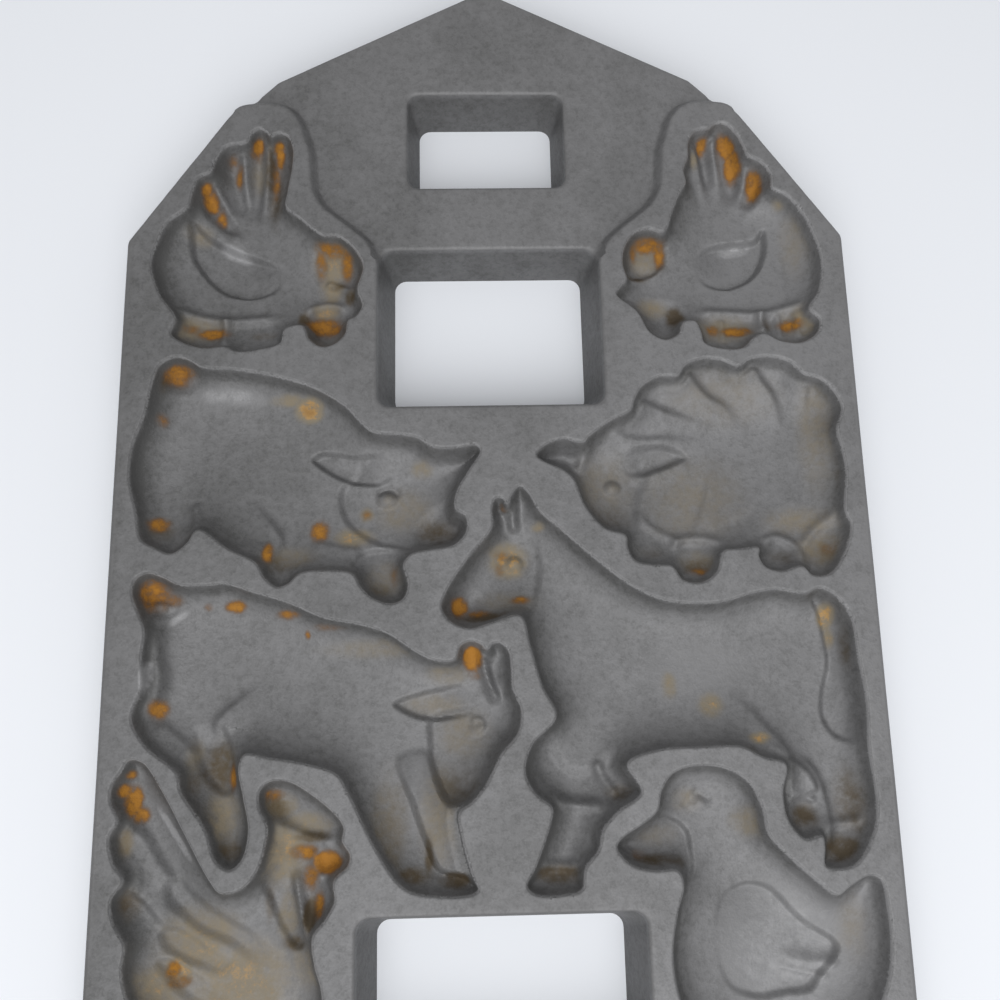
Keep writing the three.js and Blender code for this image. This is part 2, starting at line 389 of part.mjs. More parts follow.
      { height: 1.7, width: 1.6, line: [[50, 19.6], [60, 17.2], [75, 17.2], [86, 20]] },
      { height: 1.6, width: 1.4, line: [[67.2, 18], [67.2, 8]] },
    ],
    blobs: [
      { depth: -0.7, at: [51.6, 78], size: [2.8, 1.9] },
    ],
  },
};

// Closed meshes become solids once their shared vertices are merged, and go back to geometry afterwards.
function toSolid(geometry) {
  const bare = geometry.clone();
  bare.deleteAttribute("normal");
  bare.deleteAttribute("uv");
  const merged = mergeVertices(bare, TINY);
  const vertProperties = merged.attributes.position.array;
  const triVerts = new Uint32Array(merged.index.array);
  return new wasm.Manifold(new wasm.Mesh({ numProp: 3, vertProperties, triVerts }));
}

function toGeometry(solid) {
  const mesh = solid.getMesh();
  const geometry = new THREE.BufferGeometry();
  geometry.setAttribute("position", new THREE.BufferAttribute(mesh.vertProperties, 3));
  geometry.setIndex(new THREE.BufferAttribute(mesh.triVerts, 1));
  return geometry;
}

function fromTriangles(points, triangles) {
  const geometry = new THREE.BufferGeometry().setFromPoints(points);
  geometry.setIndex(triangles.flat());
  return geometry;
}

const flat = ([x, y]) => new THREE.Vector2(x, y);
const mirrored = (points) => points.map(([x, y]) => [-x, y]).reverse();
const smooth = (t) => THREE.MathUtils.smoothstep(t, 0, 1);

// A smooth curve through points chosen by hand, sampled about every step.
function spline(points, closed, step) {
  const knots = points.map(([x, y]) => new THREE.Vector3(x, y, 0));
  const curve = new THREE.CatmullRomCurve3(knots, closed, "centripetal");
  const spans = closed ? knots.length : knots.length - 1;
  const samples = [];
  for (let i = 0; i < spans; i++) {
    const cuts = Math.max(1, Math.round(knots[i].distanceTo(knots[(i + 1) % knots.length]) / step));
    for (let j = 0; j < cuts; j++) samples.push(curve.getPoint((i + j / cuts) / spans));
  }
  if (!closed) samples.push(knots[spans]);
  return samples.map((p) => new THREE.Vector2(p.x, p.y));
}

// Distance from a point to a polyline, with how far along it the nearest place is, from 0 to 1, and whether
// the point lies on the left of it there.
function nearest(line, point, closed) {
  const spans = closed ? line.length : line.length - 1;
  const best = { distance: Infinity, along: 0, left: false };
  for (let i = 0; i < spans; i++) {
    const a = line[i];
    const edge = line[(i + 1) % line.length].clone().sub(a);
    const away = point.clone().sub(a);
    const share = THREE.MathUtils.clamp(away.dot(edge) / Math.max(edge.lengthSq(), TINY), 0, 1);
    const distance = point.distanceTo(a.clone().addScaledVector(edge, share));
    if (distance >= best.distance) continue;
    Object.assign(best, { distance, along: (i + share) / spans, left: edge.cross(away) > 0 });
  }
  return best;
}

function isInside(ring, point) {
  let inside = false;
  ring.forEach((a, i) => {
    const b = ring[(i + 1) % ring.length];
    const crosses = a.y > point.y !== b.y > point.y;
    if (crosses && point.x < a.x + ((point.y - a.y) * (b.x - a.x)) / (b.y - a.y)) inside = !inside;
  });
  return inside;
}

// How far a point lies inside a ring, negative outside it.
function depthInside(ring, point) {
  const { distance } = nearest(ring, point, true);
  return isInside(ring, point) ? distance : -distance;
}

// The ring moved sideways, outwards where distance is positive, without the places where it would fold.
function offsetRing(ring, distance) {
  const normals = ring.map((p, i) => {
    const along = ring[(i + 1) % ring.length].clone().sub(p).normalize();
    return new THREE.Vector2(along.y, -along.x);
  });
  const moved = ring.map((p, i) => {
    const before = normals[(i + ring.length - 1) % ring.length];
    const mitre = Math.max(1 + before.dot(normals[i]), BLUNTEST);
    return before.clone().add(normals[i]).multiplyScalar(distance / mitre).add(p);
  });
  const clear = Math.abs(distance) * FOLD_LIMIT;
  return moved.filter((p) => nearest(ring, p, true).distance >= clear);
}

const counterClockwise = (ring) => (THREE.ShapeUtils.isClockWise(ring) ? [...ring].reverse() : ring);

// Delaunay triangles over a rim and the points inside it. The rim's own edges are never turned.
function triangulate(rim, inner) {
  const points = [...rim, ...inner];
  const facing = new Map(); // directed edge to the third corner of the triangle on its left
  const edgeKey = (a, b) => a * points.length + b;
  const corners = (a, b, c) => [[a, b, c], [b, c, a], [c, a, b]];
  const add = (a, b, c) => corners(a, b, c).forEach(([p, q, r]) => facing.set(edgeKey(p, q), r));
  const drop = (a, b, c) => corners(a, b, c).forEach(([p, q]) => facing.delete(edgeKey(p, q)));
  const turn = (a, b, p) => (b.x - a.x) * (p.y - a.y) - (b.y - a.y) * (p.x - a.x);
  const inCircle = (a, b, c, d) => {
    const [u, v, w] = [a, b, c].map((p) => new THREE.Vector3(p.x - d.x, p.y - d.y, p.distanceToSquared(d)));
    return u.dot(v.cross(w)) > TINY;
  };
  const settle = (a, b) => {
    const c = facing.get(edgeKey(a, b));
    const d = facing.get(edgeKey(b, a));
    if (c === undefined || d === undefined) return;
    if (!inCircle(points[a], points[b], points[c], points[d])) return;
    drop(a, b, c);
    drop(b, a, d);
    add(a, d, c);
    add(d, b, c);
    [[a, d], [d, b], [b, c], [c, a]].forEach(([p, q]) => settle(p, q));
  };
  const all = () => {
    const size = points.length;
    const sides = [...facing].map(([edge, c]) => [Math.floor(edge / size), edge % size, c]);
    return sides.filter(([a, b, c]) => a < b && a < c);
  };
  THREE.ShapeUtils.triangulateShape(rim, []).forEach(([a, b, c]) => add(a, b, c));
  all().forEach(([a, b, c]) => corners(a, b, c).forEach(([p, q]) => settle(p, q)));
  for (let i = rim.length; i < points.length; i++) {
    const leftOf = ([p, q]) => turn(points[p], points[q], points[i]) > 0;
    const around = all().find((triangle) => corners(...triangle).every(leftOf));
    if (!around) continue;
    drop(...around);
    corners(...around).forEach(([p, q]) => add(p, q, i));
    corners(...around).forEach(([p, q]) => settle(p, q));
  }
  return all();
}

// A solid that hangs from a level cap at capZ down to a surface of the given height at each inner point.
function hangingSolid(rim, inner, heightAt, capZ) {
  const surface = triangulate(rim, inner);
  const cap = THREE.ShapeUtils.triangulateShape(rim, []);
  const points = rim.map((p) => new THREE.Vector3(p.x, p.y, capZ));
  inner.forEach((p) => points.push(new THREE.Vector3(p.x, p.y, heightAt(p))));
  return toSolid(fromTriangles(points, [...cap, ...surface.map(([a, b, c]) => [a, c, b])]));
}

// A closed body through rings of equal count, lowest first, each with its own level.
function loft(rings) {
  const count = rings[0].ring.length;
  const points = rings.flatMap(({ ring, z }) => ring.map((p) => new THREE.Vector3(p.x, p.y, z)));
  const top = (rings.length - 1) * count;
  const triangles = [];
  for (let level = 0; level < top; level += count) {
    for (let i = 0; i < count; i++) {
      const j = (i + 1) % count;
      triangles.push([level + i, level + j, level + count + j]);
      triangles.push([level + i, level + count + j, level + count + i]);
    }
  }
  const cap = THREE.ShapeUtils.triangulateShape(rings[0].ring, []);
  cap.forEach(([a, b, c]) => triangles.push([a, c, b], [top + a, top + b, top + c]));
  return toSolid(fromTriangles(points, triangles));
}

const prism = (ring, low, high) => loft([{ ring, z: low }, { ring, z: high }]);

// A polygon with its corners rounded, each by its own radius.
function roundedRing(corners, radii) {
  const shape = new THREE.Path();
  corners.forEach((corner, i) => {
    const at = flat(corner);
    const before = flat(corners[(i + corners.length - 1) % corners.length]).sub(at);
    const after = flat(corners[(i + 1) % corners.length]).sub(at);
    const half = before.angleTo(after) / 2;
    const cut = radii[i] / Math.tan(half);
    const start = at.clone().addScaledVector(before.normalize(), cut);
    const end = at.clone().addScaledVector(after.normalize(), cut);
    if (i) shape.lineTo(start.x, start.y);
    else shape.moveTo(start.x, start.y);
    shape.quadraticCurveTo(at.x, at.y, end.x, end.y);
  });
  return counterClockwise(shape.getPoints(ARC_STEPS));
}

function windowRing({ half, low, high }, grow) {
  const x = half + grow;
  const corners = [[-x, low - grow], [x, low - grow], [x, high + grow], [-x, high + grow]];
  return roundedRing(corners, corners.map(() => WINDOW_ROUND));
}

// The drafted hole of a window, from clear above the face to clear below the base.
function windowCutter(frame) {
  const low = -OVERSHOOT;
  const high = FACE + OVERSHOOT;
  return loft([
    { ring: windowRing(frame, (low - FACE) * WINDOW_DRAFT), z: low },
    { ring: windowRing(frame, (high - FACE) * WINDOW_DRAFT), z: high },
  ]);
}

const cutters = { hayloft: windowCutter(HAYLOFT), upper: windowCutter(UPPER), door: windowCutter(DOOR) };

// Depth of a cup's plain wall and floor at a distance inside its lip.
function cupDepth(inside, deep) {
  const crown = THREE.MathUtils.clamp((inside - CROWN_FROM) / CROWN_RUN, 0, 1);
  const wall = WALL_DROP * (1 - Math.exp(-inside / WALL_RUN));
  const foot = FOOT_DROP * (1 - Math.exp(-inside / FOOT_RUN));
  return wall + foot + (deep - WALL_DROP - FOOT_DROP) * (1 - (1 - crown) ** 2);
}

// Depth of the outside of a cup's shell below the face, at a distance inside its own outer ring.
function shellDepth(inside, deep) {
  const crown = THREE.MathUtils.clamp(inside / SHELL_CROWN, 0, 1);
  const wall = WEB + SHELL_DROP * smooth(inside / SHELL_RUN);
  return wall + (deep + SHELL_FLOOR - WEB - SHELL_DROP) * (1 - (1 - crown) ** 2);
}

// An animal with its curves sampled: lip ring, and relief lines moved to where they lie on the floor.
function sampled({ deep, floor, outline, lobes, ridges, blobs }) {
  const moved = (points) => points.map(([x, y]) => [x + floor[0], y + floor[1]]);
  return {
    deep,
    lip: counterClockwise(spline(outline, true, OUTLINE_STEP)),
    lobes: lobes.map((lobe) => ({
      ...lobe,
      ring: counterClockwise(spline(moved(lobe.edge), true, LINE_STEP)),
      start: lobe.root ? flat(moved([lobe.root])[0]) : null,
    })),
    ridges: ridges.map((ridge) => ({
      ...ridge,
      widths: [ridge.width].flat(),
      path: spline(moved(ridge.line), false, LINE_STEP),
    })),
    blobs: blobs.map((blob) => ({ ...blob, centre: flat(moved([blob.at])[0]) })),
  };
}

// Extra depth of the animal's modelled relief at a point: ears, wings, cheeks, feathers, toes and eyes.
function reliefDepth({ lobes, ridges, blobs }, point) {
  let depth = 0;
  for (const { depth: sunk, soft, ring, start, reach } of lobes) {
    const edge = smooth(depthInside(ring, point) / soft + LOBE_SPILL);
    depth += sunk * edge * (start ? smooth(point.distanceTo(start) / reach) : 1);
  }
  for (const { height, widths, path, fade = RIDGE_TAPER } of ridges) {
    const { distance, along, left } = nearest(path, point, false);
    const ends = smooth(along / RIDGE_TAPER) * smooth((1 - along) / fade);
    depth -= height * ends * Math.exp(-((distance / (left ? widths[0] : widths.at(-1))) ** 2));
  }
  for (const { depth: sunk, centre, size } of blobs) {
    const away = Math.hypot((point.x - centre.x) / size[0], (point.y - centre.y) / size[1]);
    depth += sunk * Math.max(0, 1 - away ** 2 / BLOB_REACH) ** BLOB_POWER;
  }
  return depth;
}

function cupFloor(animal, point) {
  const inside = depthInside(animal.lip, point);
  const shown = smooth((inside - RELIEF_FROM) / RELIEF_RUN);
  return FACE - cupDepth(inside, animal.deep) - shown * reliefDepth(animal, point);
}

// Points over a ring's inside on a turned triangular grid.
function gridInside(ring, spacing) {
  const box = new THREE.Box2().setFromPoints(ring);
  const middle = box.getCenter(new THREE.Vector2());
  const steps = Math.ceil(box.getSize(new THREE.Vector2()).length() / spacing);
  const points = [];
  for (let row = -steps; row <= steps; row++) {
    for (let column = -steps; column <= steps; column++) {
      const x = (column + row / 2) * spacing;
      const y = (row * spacing * Math.sqrt(3)) / 2;
      points.push(new THREE.Vector2(x, y).rotateAround(new THREE.Vector2(), GRID_TURN).add(middle));
    }
  }
  return points;
}

// Vertices for a surface inside a ring: the wanted lines first, then a wide grid in what they leave open.
function surfacePoints(ring, wanted, margin, spacing) {
  const kept = [];
  const keep = (point, inset, gap) => {
    if (depthInside(ring, point) < inset) return;
    if (kept.every((other) => other.distanceTo(point) > gap)) kept.push(point);
  };
  wanted.forEach((point) => keep(point, margin * FOLD_LIMIT, CLOSEST));
  gridInside(ring, spacing).forEach((point) => keep(point, margin * 2, spacing * GRID_CLEAR));
  return kept;
}

// An open path moved sideways to its left.
function beside(path, distance) {
  return path.map((p, i) => {
    const ahead = path[Math.min(i + 1, path.length - 1)];
    const along = ahead.clone().sub(path[Math.max(i - 1, 0)]).normalize();
    return new THREE.Vector2(-along.y, along.x).multiplyScalar(distance).add(p);
  });
}

// Points where the floor needs vertices: along the foot of the wall, on both sides of each relief line.
function floorPoints(animal) {
  const candidates = WALL_RINGS.flatMap((inset) => offsetRing(animal.lip, -inset));
  for (const { ring, soft } of animal.lobes) {
    candidates.push(...offsetRing(ring, soft * LOBE_SPILL), ...offsetRing(ring, soft * (LOBE_SPILL - 1)));
  }
  for (const { path, widths } of animal.ridges) {
    const feet = [widths[0] * RIDGE_FOOT, -widths.at(-1) * RIDGE_FOOT];
    candidates.push(...path, ...feet.flatMap((foot) => beside(path, foot)));
  }
  for (const { centre, size } of animal.blobs) {
    const ring = new THREE.EllipseCurve(centre.x, centre.y, size[0], size[1]).getPoints(BLOB_SIDES);
    candidates.push(centre, ...ring);
  }
  return surfacePoints(animal.lip, candidates, WALL_RINGS[0], FLOOR_GRID);
}

// The animal as the foundry's pattern would be: what is hollow in the iron, up to just above the face.
function pattern(animal) {
  return hangingSolid(animal.lip, floorPoints(animal), (p) => cupFloor(animal, p), FACE + OVERSHOOT);
}

// The cup under the plate: a shell with the pattern's hollow in it and its own rounded back.
function cup(animal, hollow) {
  const outer = offsetRing(animal.lip, SHELL_OUT);
  const rings = SHELL_RINGS.flatMap((inset) => offsetRing(outer, -inset));
  const inner = surfacePoints(outer, rings, SHELL_RINGS[0], SHELL_GRID);
  const backAt = (p) => FACE - shellDepth(depthInside(outer, p), animal.deep);
  return hangingSolid(outer, inner, backAt, PLATE_UNDER).subtract(hollow);
}

// Outline of the barn's face: bottom edge, sides, lower roof up to the hens' pads, and the step between
// them. Between the pads it runs down inside the upper window, which is cut out later.
function faceRing() {
  const step = spline(PAD_STEP, false, LINE_STEP).map((p) => [p.x, p.y]);
  const inX = UPPER.half - WINDOW_ROUND;
  const notch = [[inX, step.at(-1)[1]], [inX, UPPER.low + WINDOW_ROUND]];
  const right = [[HALF, EAVES_Y], PAD_CORNER, ...step, ...notch];
  const corners = [[-HALF, 0], [HALF, 0], ...right, ...mirrored(right)];
  const isRound = ([x, y]) => y === 0 || Math.abs(x) === HALF || Math.abs(x) === PAD_CORNER[0];
  return roundedRing(corners, corners.map((corner) => (isRound(corner) ? CORNER_ROUND : TINY)));
}

// Outline of the lowered gable, which reaches lap under the hens' pads.
function gableRing(lap) {
  const step = PAD_STEP.map(([x, y]) => [x + lap, y - lap / 2]).reverse();
  const right = [...step, ...GABLE_FOOT, KNEE];
  const corners = [...right, [0, RIDGE_Y], ...mirrored(right)];
  const radii = corners.map(([x]) => {
    if (x === 0) return APEX_ROUND;
    return Math.abs(x) === KNEE[0] ? CORNER_ROUND : TINY;
  });
  return roundedRing(corners, radii);
}

// One straight length of the rim between two corners of the outline, mitred at both ends.
function skirtWall(outline, i, top) {
  const inset = (distance) => {
    const sides = outline.map((p, k) => {
      const along = outline[(k + 1) % outline.length].clone().sub(p).normalize();
      return { at: p.clone().add(new THREE.Vector2(-along.y, along.x).multiplyScalar(distance)), along };
    });
    return sides.map(({ at, along }, k) => {
      const other = sides[(k + sides.length - 1) % sides.length];
      const gap = at.clone().sub(other.at);
      return other.at.clone().addScaledVector(other.along, gap.cross(along) / other.along.cross(along));
    });
  };
  const j = (i + 1) % outline.length;
  const quad = (out, into) => [inset(out)[i], inset(out)[j], inset(into)[j], inset(into)[i]];
  return loft([
    { ring: counterClockwise(quad(SKIRT_DRAFT, SKIRT)), z: 0 },
    { ring: counterClockwise(quad(0, SKIRT)), z: top },
  ]);
}

function windowFrame(frame, cutter, top) {
  const outer = windowRing(frame, WINDOW_WALL - WEB * WINDOW_DRAFT);
  return prism(outer, 0, top).subtract(cutter);
}

const barn = new THREE.Group();
barn.position.y = -LENGTH / 2;

function place(name, solid) {
  const mesh = new THREE.Mesh(toGeometry(solid), new THREE.MeshStandardMaterial(IRON));
  mesh.name = name;
  barn.add(mesh);
}

const animals = Object.entries(ANIMALS).map(([name, drawn]) => {
  const animal = sampled(drawn);
  return { name, animal, hollow: pattern(animal) };
});

// Face plate: the web that carries the cups, cut by every pattern and by the two lower windows.
let plate = prism(faceRing(), PLATE_UNDER, FACE).subtract(cutters.upper).subtract(cutters.door);
animals.forEach(({ hollow }) => {
  plate = plate.subtract(hollow);
});
place("face_plate", plate);

const gable = prism(gableRing(PANEL_LAP), PANEL_UNDER, PANEL_TOP);
place("gable_panel", gable.subtract(cutters.hayloft).subtract(cutters.upper));

animals.forEach(({ name, animal, hollow }) => place(`${name}_cup`, cup(animal, hollow)));

const underGable = prism(gableRing(PANEL_LAP + WINDOW_DRAFT), PANEL_UNDER, FACE);
place("hayloft_window_frame", windowFrame(HAYLOFT, cutters.hayloft, PANEL_UNDER));
place("upper_window_frame", windowFrame(UPPER, cutters.upper, PLATE_UNDER).subtract(underGable));
place("door_frame", windowFrame(DOOR, cutters.door, PLATE_UNDER));

const roofRight = [[HALF, EAVES_Y], PAD_CORNER, KNEE];
const corners = [[-HALF, 0], [HALF, 0], ...roofRight, [0, RIDGE_Y], ...mirrored(roofRight)];
const radii = corners.map(([x]) => (x === 0 ? APEX_ROUND : CORNER_ROUND));
const roundedBarn = prism(roundedRing(corners, radii), -OVERSHOOT, FACE);
const WALLS = [
  ["bottom_wall", PLATE_UNDER],
  ["right_side_wall", PLATE_UNDER],
  ["right_eave_wall", PLATE_UNDER],
  ["right_knee_wall", PANEL_UNDER],
  ["right_gable_wall", PANEL_UNDER],
  ["left_gable_wall", PANEL_UNDER],
  ["left_knee_wall", PANEL_UNDER],
  ["left_eave_wall", PLATE_UNDER],
  ["left_side_wall", PLATE_UNDER],
];
WALLS.forEach(([name, top], i) => place(name, skirtWall(corners.map(flat), i, top).intersect(roundedBarn)));

const mould = new THREE.Group();
mould.add(barn);

export default mould;
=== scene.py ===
from functools import lru_cache
from math import atan2, cos, hypot, pi, radians, sin, tan

import bpy
import numpy as np
from bpy.props import FloatProperty, FloatVectorProperty, PointerProperty
from mathutils import Matrix, Vector, kdtree
from mathutils.geometry import delaunay_2d_cdt


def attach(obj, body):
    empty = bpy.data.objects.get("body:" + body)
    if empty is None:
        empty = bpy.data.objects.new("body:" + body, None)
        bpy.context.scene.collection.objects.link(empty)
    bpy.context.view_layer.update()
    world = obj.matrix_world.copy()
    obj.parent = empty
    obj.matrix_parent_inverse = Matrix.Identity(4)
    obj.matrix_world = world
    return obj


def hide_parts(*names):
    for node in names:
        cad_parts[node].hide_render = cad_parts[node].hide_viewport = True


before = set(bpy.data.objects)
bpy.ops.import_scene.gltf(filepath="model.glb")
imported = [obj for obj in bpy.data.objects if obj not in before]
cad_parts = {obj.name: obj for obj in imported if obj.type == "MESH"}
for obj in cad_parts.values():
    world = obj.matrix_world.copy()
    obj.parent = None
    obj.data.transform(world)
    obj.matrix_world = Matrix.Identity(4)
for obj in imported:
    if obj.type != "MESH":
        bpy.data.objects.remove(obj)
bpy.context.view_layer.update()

bl_info = {
    "name": "Barn Cornbread Mould",
    "version": (1, 0, 0),
    "blender": (4, 5, 0),
    "location": "3D View > Sidebar > Mould",
    "description": "Builds a cast iron cornbread mould in a barn's outline, with farm animals as cups",
    "category": "Object",
}

MM = 0.001
TINY = 1e-9

# Barn coordinates in millimetres: x from the centre line, y up from the bottom edge.
ROOF_RIGHT = [(105, 238), (75.4, 280.8), (63.4, 292.6)]
RIDGE = (0, 324.57)
WALL_NAMES = ["bottom_wall", "right_side_wall", "right_eave_wall", "right_knee_wall", "right_gable_wall",
    "left_gable_wall", "left_knee_wall", "left_eave_wall", "left_side_wall"]

# Windows at the level of the face: half width, bottom edge, top edge.
WINDOWS = {
    "hayloft_window_frame": (24.8, 255.5, 288.8),
    "upper_window_frame": (32.6, 186.6, 237.2),
    "door_frame": (37.5, 9, 51),
}

# Step from a hen's pad down to the gable, from the upper window to the roof line, on the right-hand side.
PAD_STEP = [(33, 231), (35.6, 236.6), (40, 241), (45, 245), (49, 248.6), (51.8, 253.6), (52.8, 260),
    (53.4, 267), (55.4, 273.4), (57, 277.6), (60, 281), (65, 282.5), (70, 282.2), (76, 281.2)]
BEYOND_ROOF = [(110, 296), (0, 350), (-110, 296)]

